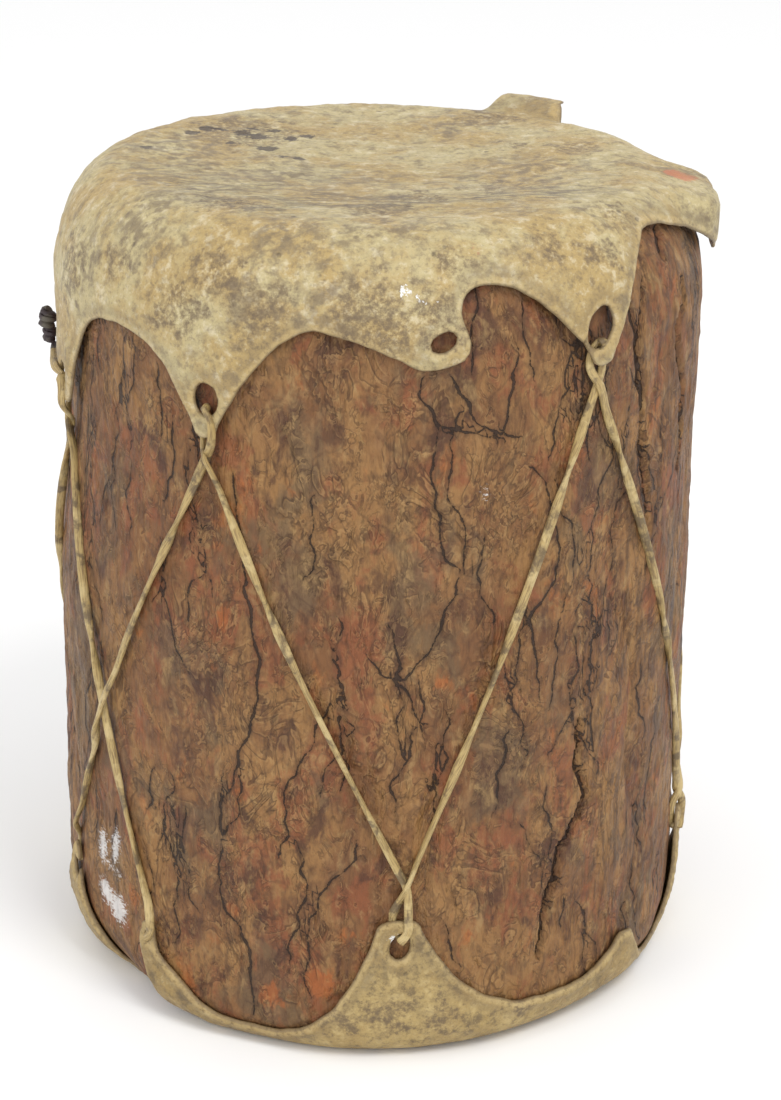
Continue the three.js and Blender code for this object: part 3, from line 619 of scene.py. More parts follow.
def lift_at(tabs, bearing, z):
    lift = np.zeros(np.shape(bearing))
    for tab in tabs:
        laced = tab.get("laced")
        plateau = tab["hole"]["up"] + tab["hole"]["high"] / 2 if laced else tab.get("plateau", 0)
        height = LACED_LIFT if laced else tab.get("lift", 0)
        beside = np.abs(turn(tab["at"], bearing)) - tab.get("hold", 3.5)
        above = np.abs(z - tip_height(tab)) - plateau
        window = smooth(1 - beside / tab.get("spread", 8))
        lift = np.maximum(lift, height * window * smooth(1 - above / tab.get("fade", LIFT_FADE)))
    return lift


TOP_SHEET = dict(rim=LOG_TOP, hub=HEIGHT - DISH, face=HEIGHT, inside=1, rings=40, row=2.2,
                 rows=64, columns=440, curl=0.5, roll=0.25, dents=1.2, gap=0.9, lift=1.0, seed=71)
FOOT_SHEET = dict(rim=LOG_FOOT, hub=0, face=0, inside=-1, rings=4, row=2.0,
                  rows=56, columns=460, curl=0.3, roll=1.1, dents=0.9, gap=0.2, lift=0.3, seed=81)
FAR_INSIDE = 40.0
EDGE_ROUND = 1.2
EDGE_THIN = 8.0
CURL_REACH = 9.0
CLOSE_REACH = 14.0
EAVE_BEND = 2.2


def sheet_base(sheet, bearing, station):
    """The face that a skin lies on, at a station counted from the hub out and down the skirt."""
    inside = sheet["inside"]
    heel_width, heel_height = heel_at(bearing)
    crest = CREST_RADIUS if inside > 0 else LOG_RADIUS - heel_width
    height = SHOULDER_HEIGHT if inside > 0 else heel_height
    weight = SHOULDER_WEIGHT if inside > 0 else HEEL_WEIGHT
    along = np.maximum(station - sheet["rings"], 0) * sheet["row"]
    bend = weight * math.pi / 2
    rounded = height * (1 - np.cos(np.minimum(along, bend) / weight))
    z = sheet["rim"] - inside * (rounded + np.maximum(along - bend, 0))
    radius, out, up = log_side(bearing, z)
    flat = station < sheet["rings"]
    share = np.clip(station / sheet["rings"], 0, 1)
    flat_z = lerp(sheet["hub"], sheet["face"], 1 - (1 - share ** 2) ** 1.5) - inside * (SKIN + SKIN_GAP)
    return (
        np.where(flat, crest * share, radius), np.where(flat, flat_z, z),
        np.where(flat, 0, out), np.where(flat, inside, up),
    )


def head_ripples(sheet, base):
    """Low ripples that run from side to side across the front of the head, by its fold."""
    if sheet["inside"] < 0:
        return 0
    x, y = base[:, 0], base[:, 1]
    bent = y + 7 * noise(base, (70, 26, 60), 91, 2) - x ** 2 / 520
    window = smooth(1 - np.abs(bent + 92) / 34) * smooth((base[:, 2] - 366) / 8)
    return 1.25 * window * noise(np.stack([x, bent, 0 * x], -1), (75, 6.5, 50), 92, 2)


def cut_cells(field):
    """Faces of a grid, closed round its columns, where the field is above 0. A cell that the
    edge crosses is cut along it. Returns the places used as (row, column) and the faces."""
    rows, columns = field.shape
    places = {}
    listed = []
    faces = []

    def number(key, row, column):
        if key not in places:
            places[key] = len(listed)
            listed.append((row, column))
        return places[key]

    for row in range(rows - 1):
        for column in range(columns):
            beside = (column + 1) % columns
            ids = [(row, column), (row + 1, column), (row + 1, beside), (row, beside)]
            seen = [(row, column), (row + 1, column), (row + 1, column + 1), (row, column + 1)]
            values = [field[corner] for corner in ids]
            if max(values) <= 0:
                continue
            face = []
            for index in range(4):
                following = (index + 1) % 4
                if values[index] > 0:
                    face.append(number(ids[index], ids[index][0], ids[index][1]))
                if (values[index] > 0) != (values[following] > 0):
                    share = values[index] / (values[index] - values[following])
                    key = tuple(sorted((ids[index], ids[following])))
                    cut_row = lerp(seen[index][0], seen[following][0], share)
                    cut_column = lerp(seen[index][1], seen[following][1], share)
                    face.append(number(key, cut_row, cut_column))
            if len(face) > 2:
                faces.append(face)
    return np.array(listed, float), faces


def open_edges(faces):
    edges = {}
    for face in faces:
        for index, corner in enumerate(face):
            edges[(corner, face[(index + 1) % len(face)])] = True
    return [(a, b) for a, b in edges if (b, a) not in edges]


def make_skin(name, tabs, sheet, material):
    stations = sheet["rings"] + sheet["rows"]
    station = np.arange(1, stations + 1)[:, None] + np.zeros(sheet["columns"])
    bearing = np.arange(sheet["columns"]) * 360 / sheet["columns"] - 180 + 0 * station
    z = sheet_base(sheet, bearing, station)[1]
    on_skirt = station[:, 0] > sheet["rings"]
    field = np.full(station.shape, FAR_INSIDE)
    field[on_skirt] = edge_field(tabs, bearing[on_skirt], z[on_skirt])
    field = np.where(np.abs(field) < 0.12, np.where(field < 0, -0.12, 0.12), field)
    cells, faces = cut_cells(field)
    station = cells[:, 0] + 1
    bearing = cells[:, 1] * 360 / sheet["columns"] - 180
    radius, z, out, up = sheet_base(sheet, bearing, station)
    edge = np.full(len(station), FAR_INSIDE)
    skirt = station > sheet["rings"]
    edge[skirt] = np.clip(edge_field(tabs, bearing[skirt], z[skirt]), 0, FAR_INSIDE)
    base = place(bearing, radius, z)
    rounded = np.sqrt(1 - (1 - np.clip(edge / EDGE_ROUND, 0, 1)) ** 2)
    thick = SKIN * lerp(0.3, lerp(TAB_SKIN, 1, smooth(edge / EDGE_THIN)), rounded)
    curl = sheet["curl"] * (1 + noise(base, 17, sheet["seed"])) * (1 - smooth(edge / CURL_REACH))
    close = 1 - smooth(edge / CLOSE_REACH)
    stand = lerp(SKIN_GAP, sheet["gap"], close * skirt)
    stand = stand + (sheet["lift"] * lift_at(tabs, bearing, z) + curl) * skirt
    roll = sheet["roll"] * np.exp(-((edge - 2.4) / 1.9) ** 2)
    dents = 0.0
    for strength, cell, seed, octaves in ((sheet["dents"], 26, 1, 3), (0.75, 11, 4, 2), (0.35, 4.5, 2, 2)):
        dents = dents + strength * noise(base, cell, sheet["seed"] + seed, octaves)
    quiet = np.clip((z - 3) / 12, 0, 1)
    bumps = (roll + dents * smooth(edge / 5 + 0.3) + head_ripples(sheet, base)) * quiet
    depths = np.maximum(stand + thick + bumps, stand + 0.3), stand
    far, near = (place(bearing, radius + depth * out, z + depth * up) for depth in depths)
    for tab in tabs:
        if "eave" in tab:
            beside = np.abs(turn(tab["at"], bearing)) - tab["eave"]["hold"]
            window = np.where(skirt, smooth(1 - beside / tab["eave"]["spread"]), 0)[:, None]
            radius, z, out, up = eave_base(tabs, tab, sheet, bearing, station)
            held = [place(bearing, radius + depth * out, z + depth * up) for depth in depths]
            far, near = lerp(far, held[0], window), lerp(near, held[1], window)
    far[:, 2] = np.maximum(far[:, 2], 0)
    count = len(far)
    outer = faces if sheet["inside"] > 0 else [face[::-1] for face in faces]
    hub = [2 * count, 2 * count + 1]
    first_ring = [index for index, cell in enumerate(cells) if cell[0] == 0]
    first_ring.sort(key=lambda index: cells[index][1])
    pairs = list(zip(first_ring, first_ring[1:] + first_ring[:1]))
    fan = [[hub[0], a, b] if sheet["inside"] > 0 else [hub[0], b, a] for a, b in pairs]
    outer = outer + fan
    lower = [[hub[1] if corner == hub[0] else corner + count for corner in face[::-1]] for face in outer]
    rim = [[b, a, a + count, b + count] for a, b in open_edges(outer)]
    hub_z = sheet["hub"]
    points = np.vstack([far, near, [[0, 0, hub_z]], [[0, 0, hub_z - sheet["inside"] * SKIN]]])
    front = lerp(0.2, 1, smooth((12 - base[:, 1]) / 70))
    head = np.clip((sheet["rings"] + 3 - station) / 8, 0, 1) * front
    both = {
        "edge": np.concatenate([edge, edge, [FAR_INSIDE] * 2]),
        "head": np.concatenate([head, head, [0.2, 0.2]]),
    }
    for colour, stains in HIDE_STAINS.items():
        both[colour] = stain_field(points, stains)
    return make_piece(name, points, outer + lower + rim, material, both)


# The thong


def thong_radius(bearing, z):
    return log_side(bearing, z)[0] + THONG / 2 + GAP


def join_place(tab):
    return np.array([tab["at"], tip_height(tab) - inward(tab) * tab.get("join", 9)])


def tab_end(tab, over):
    """Places where the thong turns round the lip of a tab, from its hole outwards."""
    tip = tip_height(tab)
    hole = tab["hole"]
    away = -inward(tab)
    stand = SKIN_GAP + LACED_LIFT if away < 0 else FOOT_SHEET["gap"] + FOOT_SHEET["lift"] * LACED_LIFT
    slope = log_side(hole["at"], tip - away * hole["up"])[2]
    lip = hole["up"] - hole["high"] / 2 - away * slope * (stand + SKIN)
    face = log_side(hole["at"], tip)[0] + stand
    middle = face + SKIN / 2
    clear = THONG_THICKNESS / 2 + 0.3
    radius = face + TAB_SKIN * SKIN + clear if over and not tab.get("tucked") else face - clear
    bearing = hole["at"] + (LEG_PART if over else -LEG_PART)
    places = [
        (-lip - clear - 1.9, middle + (1.5 if over else -1.5), hole["at"]),
        (-lip - clear * 0.95, lerp(middle, radius, 0.85), lerp(hole["at"], bearing, 0.5)),
        (-lip + 2, radius, bearing),
        (1, radius, bearing),
    ]
    laid = []
    for beyond, out, where in places:
        z = tip + away * beyond
        laid.append(place(where, out + trunk_radius(where, z) - trunk_radius(where, tip), z))
    return laid


def crossing_height(first, last):
    def slope(run):
        return turn(run[0][0], run[1][0]) / (run[1][1] - run[0][1])

    apart = turn(last[0][0], first[0][0])
    return -(apart - slope(first) * first[0][1] + slope(last) * last[0][1]) / (slope(first) - slope(last))


THONG_WIDTH = 4.3
THONG_THICKNESS = 2.4
THONG_SUNK = 1.0
LEG_PART = 1.3
TAB_SKIN = 0.6
RUN_STEP = 6.0
CROSSING_LENGTH = 30.0


def run_places(start, end, crossing=None):
    """The stretch between two joins, wound on the bark. The end of one lies over the start of
    the next where they part, and the last stretch passes over the first."""
    length = abs(end[1] - start[1])
    shares = np.linspace(0, 1, int(length / RUN_STEP))
    bearing = start[0] + turn(start[0], end[0]) * shares
    z = lerp(start[1], end[1], shares)
    rise = smooth(1 - (1 - shares) * length / 16) * 0.85 + smooth(1 - shares * length / 12) * 0.15
    if crossing is not None:
        rise = rise + smooth(1.25 - np.abs(z - crossing) / (CROSSING_LENGTH * 0.7))
    sunk = THONG_SUNK + 1.3 * roughness(bearing)
    return list(place(bearing, thong_radius(bearing, z) - sunk + rise * THONG_THICKNESS, z))


def thong_route():
    laced = {tab["at"]: tab for tab in TOP_TABS + FOOT_TABS if tab.get("laced")}
    order = [laced[bearing] for bearing in LACED_ORDER]
    joins = [join_place(tab) for tab in order]
    runs = list(zip(joins, joins[1:]))
    crossing = crossing_height(runs[0], runs[-1])
    route = []
    for index, (start, end) in enumerate(runs):
        route += tab_end(order[index], True)
        route += run_places(start, end, crossing if index == len(runs) - 1 else None)
        route += tab_end(order[index + 1], False)[::-1]
    return np.array(route)


def rounded_route(route, step):
    """A smooth line through the places of a route, in even steps."""
    ends = np.vstack([2 * route[0] - route[1], route, 2 * route[-1] - route[-2]])
    knots = np.concatenate([[0], np.cumsum(np.linalg.norm(np.diff(ends, axis=0), axis=1) ** 0.5)])
    fine = []
    for index in range(1, len(ends) - 2):
        p0, p1, p2, p3 = ends[index - 1:index + 3]
        t0, t1, t2, t3 = knots[index - 1:index + 3]
        t = np.linspace(t1, t2, 12, endpoint=False)[:, None]
        a1 = (t1 - t) / (t1 - t0) * p0 + (t - t0) / (t1 - t0) * p1
        a2 = (t2 - t) / (t2 - t1) * p1 + (t - t1) / (t2 - t1) * p2
        a3 = (t3 - t) / (t3 - t2) * p2 + (t - t2) / (t3 - t2) * p3
        b1 = (t2 - t) / (t2 - t0) * a1 + (t - t0) / (t2 - t0) * a2
        b2 = (t3 - t) / (t3 - t1) * a2 + (t - t1) / (t3 - t1) * a3
        fine.append((t2 - t) / (t2 - t1) * b1 + (t - t1) / (t2 - t1) * b2)
    fine = np.vstack(fine + [route[-1:]])
    reach = np.concatenate([[0], np.cumsum(np.linalg.norm(np.diff(fine, axis=0), axis=1))])
    even = np.linspace(0, reach[-1], int(reach[-1] / step))
    return np.stack([np.interp(even, reach, fine[:, axis]) for axis in range(3)], -1)


def knot_routes():
    """The link from the left tab's hole to the knot, and the knot's own close turns."""
    tab = next(tab for tab in TOP_TABS if tab["at"] == LACED_ORDER[1])
    hole = tab["hole"]
    face = SKIN_GAP + SKIN
    height = tip_height(tab) + hole["up"]

    def stand(bearing):
        return face + float(lift_at(TOP_TABS, bearing, height)) + THONG / 2 - 1.5

    link = [off_log(hole["at"], height - hole["high"] / 2 + THONG, stand(hole["at"]) - THONG / 2)]
    for share in np.linspace(0, 1, 5):
        bearing = lerp(hole["at"] - 2.5, KNOT["at"], share)
        link.append(off_log(bearing, height, stand(bearing) + 0.5))
    routes = [np.array(link)]
    for index, lump in enumerate(KNOT["lumps"]):
        z = HEIGHT - KNOT["drop"] - index * KNOT["spacing"]
        middle = off_log(KNOT["at"] - index, z, face + lump - 0.6)
        turns = np.linspace(0, 2 * math.pi * KNOT["turns"], KNOT["steps"])
        bulge = np.sin(np.linspace(0.25, math.pi - 0.25, KNOT["steps"])) * (lump - THONG * 0.42)
        down = np.linspace(lump * KNOT["squeeze"], -lump * KNOT["squeeze"], KNOT["steps"])
        coil = [bulge * np.cos(turns), bulge * np.sin(turns) * KNOT["squeeze"], down]
        routes.append(middle + np.stack(coil, -1))
    return routes


def make_lacing(material, knot_material):
    """The thong as a curve that a node tree gives its flat, twisted section."""
    curve = bpy.data.curves.new("thong_line", "CURVE")
    curve.dimensions = "3D"
    laced = [tab for tab in TOP_TABS + FOOT_TABS if tab.get("laced")]
    joins = np.array([place(tab["at"], LOG_RADIUS, tip_height(tab)) for tab in laced])
    for route in [thong_route()] + knot_routes():
        line = rounded_route(route, 1.7)
        reach = np.linalg.norm(line[:, None] - joins, axis=-1).min(axis=1)
        spline = curve.splines.new("POLY")
        spline.points.add(len(line) - 1)
        spline.points.foreach_set("co", np.column_stack([line * MM, np.ones(len(line))]).ravel())
        spline.points.foreach_set("radius", 1 + 0.25 * (1 - smooth(reach / 30)))
    laid = bpy.data.objects.new("thong_line", curve)
    bpy.context.scene.collection.objects.link(laid)
    tree, sockets = thong_tree()
    modifier = laid.modifiers.new("thong_section", "NODES")
    modifier.node_group = tree
    values = {"Width": THONG_WIDTH * MM, "Thickness": THONG_THICKNESS * MM, "Twist Length": 0.17,
              "Unevenness": 0.24, "Sides": 12, "Material": material}
    for key, value in values.items():
        modifier[sockets[key]] = value
    shown = laid.evaluated_get(bpy.context.evaluated_depsgraph_get())
    mesh = bpy.data.meshes.new_from_object(shown)
    mesh.name = "laced_thong"
    bpy.data.objects.remove(laid)
    piece = bpy.data.objects.new("laced_thong", mesh)
    bpy.context.scene.collection.objects.link(piece)
    mesh.shade_smooth()
    mesh.materials.append(knot_material)
    middles = np.empty(len(mesh.polygons) * 3)
    mesh.polygons.foreach_get("center", middles)
    knot = off_log(KNOT["at"], HEIGHT - KNOT["drop"] - KNOT["spacing"] / 2, 8)
    on_knot = np.linalg.norm(middles.reshape(-1, 3) / MM - knot, axis=1) < 13
    mesh.polygons.foreach_set("material_index", on_knot.astype(np.int32))
    stand_for(piece, "thong")


# Node helpers


def add_node(tree, kind, inputs=None, **settings):
    """A node of a tree with its settings. An input is a plain value or another node's socket."""
    made = tree.nodes.new(kind)
    for key, value in settings.items():
        setattr(made, key, value)
    for key, value in (inputs or {}).items():
        if isinstance(value, bpy.types.NodeSocket):
            tree.links.new(value, made.inputs[key])
        else:
            made.inputs[key].default_value = value
    return made


def new_group(name, kind, inputs, outputs):
    tree = bpy.data.node_groups.new(name, kind)
    for key, socket, value in inputs:
        made = tree.interface.new_socket(key, in_out="INPUT", socket_type=socket)
        if value is not None:
            made.default_value = value
    for key, socket in outputs:
        tree.interface.new_socket(key, in_out="OUTPUT", socket_type=socket)
    return tree, tree.nodes.new("NodeGroupInput").outputs, tree.nodes.new("NodeGroupOutput").inputs


def calculate(tree, operation, first, second=0.0, third=0.0):
    inputs = {0: first, 1: second, 2: third} if operation == "MULTIPLY_ADD" else {0: first, 1: second}
    return add_node(tree, "ShaderNodeMath", inputs, operation=operation).outputs[0]


def thong_tree():
    tree, given, result = new_group("thong_section", "GeometryNodeTree", [
        ("Geometry", "NodeSocketGeometry", None), ("Width", "NodeSocketFloat", 0.005),
        ("Thickness", "NodeSocketFloat", 0.0035), ("Twist Length", "NodeSocketFloat", 0.06),
        ("Unevenness", "NodeSocketFloat", 0.2), ("Sides", "NodeSocketInt", 10),
        ("Material", "NodeSocketMaterial", None),
    ], [("Geometry", "NodeSocketGeometry")])
    along = add_node(tree, "GeometryNodeSplineParameter").outputs["Length"]
    beat = add_node(tree, "ShaderNodeTexNoise", {"W": along, "Scale": 45.0, "Detail": 2.0},
                    noise_dimensions="1D")
    centred = calculate(tree, "SUBTRACT", beat.outputs[0], 0.5)
    broader = tree.nodes.new("GeometryNodeInputRadius").outputs[0]
    swing = calculate(tree, "MULTIPLY", given["Unevenness"], 3.0)
    radius = calculate(tree, "MULTIPLY_ADD", centred, swing, broader)
    turns = calculate(tree, "DIVIDE", along, given["Twist Length"])
    slow = add_node(tree, "ShaderNodeTexNoise", {"W": along, "Scale": 9.0, "Detail": 1.0},
                    noise_dimensions="1D")
    wound = calculate(tree, "MULTIPLY_ADD", slow.outputs[0], 1.3, turns)
    tilt = calculate(tree, "MULTIPLY", wound, 2 * math.pi)
    marked = add_node(tree, "GeometryNodeStoreNamedAttribute",
                      {"Geometry": given["Geometry"], "Name": "along", "Value": along}, data_type="FLOAT")
    sized = add_node(tree, "GeometryNodeSetCurveRadius", {"Curve": marked.outputs[0], "Radius": radius})
    twisted = add_node(tree, "GeometryNodeSetCurveTilt", {"Curve": sized.outputs[0], "Tilt": tilt})
    circle = add_node(tree, "GeometryNodeCurvePrimitiveCircle", {"Resolution": given["Sides"], "Radius": 0.5})
    spot = add_node(tree, "GeometryNodeInputPosition").outputs[0]
    named = add_node(tree, "GeometryNodeStoreNamedAttribute",
                     {"Geometry": circle.outputs[0], "Name": "around", "Value": spot},
                     data_type="FLOAT_VECTOR")
    section = {0: given["Width"], 1: given["Thickness"], 2: 1.0}
    size = add_node(tree, "ShaderNodeCombineXYZ", section).outputs[0]
    flat = add_node(tree, "GeometryNodeTransform", {"Geometry": named.outputs[0], "Scale": size})
    swept = add_node(tree, "GeometryNodeCurveToMesh",
                     {"Curve": twisted.outputs[0], "Profile Curve": flat.outputs[0], "Fill Caps": True})
    real = add_node(tree, "GeometryNodeRealizeInstances", {"Geometry": swept.outputs[0]})
    dressed = add_node(tree, "GeometryNodeSetMaterial",
                       {"Geometry": real.outputs[0], "Material": given["Material"]})
    tree.links.new(dressed.outputs[0], result["Geometry"])
    sockets = {item.name: item.identifier for item in tree.interface.items_tree if item.in_out == "INPUT"}
    return tree, sockets


# Materials


def patch_group():
    """Blotches with frayed edges: a mask that is 1 inside them."""
    tree, given, result = new_group("frayed_patches", "ShaderNodeTree", [
        ("Place", "NodeSocketVector", None), ("Scale", "NodeSocketFloat", 30.0),
        ("Fray", "NodeSocketFloat", 0.02), ("Low", "NodeSocketFloat", 0.5),
        ("High", "NodeSocketFloat", 0.6), ("Shift", "NodeSocketFloat", 0.0),
    ], [("Mask", "NodeSocketFloat")])
    shift = add_node(tree, "ShaderNodeCombineXYZ", {0: given["Shift"], 1: given["Shift"], 2: given["Shift"]})
    moved = add_node(tree, "ShaderNodeVectorMath", {0: given["Place"], 1: shift.outputs[0]}, operation="ADD")
    fray = add_node(tree, "ShaderNodeTexNoise", {"Vector": moved.outputs[0], "Scale": 55.0, "Detail": 3.0})
    centred = add_node(tree, "ShaderNodeVectorMath", {0: fray.outputs["Color"], 1: (0.5, 0.5, 0.5)},
                       operation="SUBTRACT")
    pushed = add_node(tree, "ShaderNodeVectorMath", {0: centred.outputs[0], "Scale": given["Fray"]},
                      operation="SCALE")
    frayed = add_node(tree, "ShaderNodeVectorMath", {0: moved.outputs[0], 1: pushed.outputs[0]},
                      operation="ADD")
    blot = add_node(tree, "ShaderNodeTexNoise",
                    {"Vector": frayed.outputs[0], "Scale": given["Scale"], "Detail": 7.0, "Roughness": 0.62})
    mask = add_node(tree, "ShaderNodeMapRange",
                    {"Value": blot.outputs[0], "From Min": given["Low"], "From Max": given["High"]},
                    interpolation_type="SMOOTHSTEP")
    tree.links.new(mask.outputs[0], result["Mask"])
    return tree


def grain_group():
    """Fine pores and creases: their height, and a mask of the pits, which the bark, hide and thong darken
    with painted shade.
    """
    tree, given, result = new_group("pores_and_creases", "ShaderNodeTree", [
        ("Place", "NodeSocketVector", None), ("Scale", "NodeSocketFloat", 400.0),
        ("Pits", "NodeSocketFloat", 0.3),
    ], [("Height", "NodeSocketFloat"), ("Shaded Pit", "NodeSocketFloat")])
    fine = add_node(tree, "ShaderNodeTexNoise",
                    {"Vector": given["Place"], "Scale": given["Scale"], "Detail": 5.0})
    coarse_scale = calculate(tree, "MULTIPLY", given["Scale"], 0.22)
    coarse = add_node(tree, "ShaderNodeTexNoise",
                      {"Vector": given["Place"], "Scale": coarse_scale, "Detail": 4.0, "Roughness": 0.6})
    cell_scale = calculate(tree, "MULTIPLY", given["Scale"], 0.45)
    cells = add_node(tree, "ShaderNodeTexVoronoi", {"Vector": given["Place"], "Scale": cell_scale})
    hole = add_node(tree, "ShaderNodeMapRange",
                    {"Value": cells.outputs["Distance"], "From Min": 0.24, "From Max": 0.08},
                    interpolation_type="SMOOTHSTEP")
    chosen = add_node(tree, "ShaderNodeMapRange",
                      {"Value": coarse.outputs[0], "From Min": 0.5, "From Max": 0.68})
    share = calculate(tree, "MULTIPLY", chosen.outputs[0], given["Pits"])
    shaded_pit = calculate(tree, "MULTIPLY", hole.outputs[0], share)
    height = calculate(tree, "MULTIPLY_ADD", fine.outputs[0], 0.4, coarse.outputs[0])
    tree.links.new(calculate(tree, "SUBTRACT", height, shaded_pit), result["Height"])
    tree.links.new(shaded_pit, result["Shaded Pit"])
    return tree


def flake_group():
    """Thin flakes that lap over each other like contour steps: their rise, painted shade on their brinks and
    painted highlights on their lips.
    """
    tree, given, result = new_group("lapped_flakes", "ShaderNodeTree", [
        ("Place", "NodeSocketVector", None), ("Scale", "NodeSocketFloat", 40.0),
        ("Count", "NodeSocketFloat", 10.0),
    ], [("Rise", "NodeSocketFloat"), ("Shaded Brink", "NodeSocketFloat"), ("Lip Highlight", "NodeSocketFloat")])
    land = add_node(tree, "ShaderNodeTexNoise",
                    {"Vector": given["Place"], "Scale": given["Scale"], "Detail": 4.0,
                     "Roughness": 0.55, "Distortion": 1.1})
    rise = calculate(tree, "FRACT", calculate(tree, "MULTIPLY", land.outputs[0], given["Count"]))
    spread = calculate(tree, "MULTIPLY", given["Scale"], 0.9)
    shown = window(tree, simple_noise(tree, given["Place"], spread, 3.0), 0.42, 0.58)
    # Painted shade on the brinks where the steps drop, and painted highlights on the lips just past them.
    shaded_brink = calculate(tree, "MULTIPLY", window(tree, rise, 0.72, 0.88), window(tree, rise, 1.0, 0.95))
    lip = window(tree, rise, 0.24, 0.06)
    tree.links.new(calculate(tree, "MULTIPLY", rise, shown), result["Rise"])
    tree.links.new(calculate(tree, "MULTIPLY", shaded_brink, shown), result["Shaded Brink"])
    tree.links.new(calculate(tree, "MULTIPLY", lip, shown), result["Lip Highlight"])
    return tree


def begin_material(name):
    material = bpy.data.materials.new(name)
    material.use_nodes = True
    tree = material.node_tree
    coordinates = tree.nodes.new("ShaderNodeTexCoord").outputs["Object"]
    return material, tree, tree.nodes["Principled BSDF"], coordinates


def patches(tree, place, scale, low, high, shift, fray=0.02):
    made = add_node(tree, "ShaderNodeGroup", node_tree=PATCHES)
    for key, value in dict(Scale=scale, Low=low, High=high, Shift=shift, Fray=fray).items():
        made.inputs[key].default_value = value
    tree.links.new(place, made.inputs["Place"])
    return made.outputs["Mask"]


def grain(tree, place, scale, pits):
    made = add_node(tree, "ShaderNodeGroup", node_tree=GRAIN)
    made.inputs["Scale"].default_value = scale
    made.inputs["Pits"].default_value = pits
    tree.links.new(place, made.inputs["Place"])
    return made.outputs["Height"], made.outputs["Shaded Pit"]


def flakes(tree, place, scale, count):
    made = add_node(tree, "ShaderNodeGroup", node_tree=FLAKES)
    made.inputs["Scale"].default_value = scale
    made.inputs["Count"].default_value = count
    tree.links.new(place, made.inputs["Place"])
    return made.outputs["Rise"], made.outputs["Shaded Brink"], made.outputs["Lip Highlight"]


def paint(tree, under, over, mask, strength=1.0):
    """One colour over another where the mask is 1."""
    if strength != 1.0:
        mask = calculate(tree, "MULTIPLY", mask, strength)
    mixed = add_node(tree, "ShaderNodeMix", data_type="RGBA")
    for index, value in ((0, mask), (6, under), (7, over)):
        if isinstance(value, bpy.types.NodeSocket):
            tree.links.new(value, mixed.inputs[index])
        else:
            mixed.inputs[index].default_value = (*value, 1) if isinstance(value, tuple) else value
    return mixed.outputs[2]


def attribute(tree, name):
    return add_node(tree, "ShaderNodeAttribute", attribute_name=name).outputs["Fac"]


def frayed_field(tree, name, cloud, reach):
    """A field of the mesh with its edge moved to and fro by a noise, by so many millimetres."""
    centred = calculate(tree, "SUBTRACT", cloud, 0.5)
    return calculate(tree, "MULTIPLY_ADD", centred, reach, attribute(tree, name))


def window(tree, value, low, high):
    return add_node(tree, "ShaderNodeMapRange", {"Value": value, "From Min": low, "From Max": high},
                    interpolation_type="SMOOTHSTEP").outputs[0]


def stretched(tree, place, scale):
    return add_node(tree, "ShaderNodeMapping", {"Vector": place, "Scale": scale}).outputs[0]


def simple_noise(tree, place, scale, detail=4.0, roughness=0.5):
    return add_node(tree, "ShaderNodeTexNoise",
                    {"Vector": place, "Scale": scale, "Detail": detail, "Roughness": roughness}).outputs[0]


def finish_material(tree, shader, colour, roughness, height, strength, distance):
    tree.links.new(colour, shader.inputs["Base Color"])
    tree.links.new(roughness, shader.inputs["Roughness"])
    bump = add_node(tree, "ShaderNodeBump", {"Height": height, "Strength": strength, "Distance": distance})
    tree.links.new(bump.outputs[0], shader.inputs["Normal"])


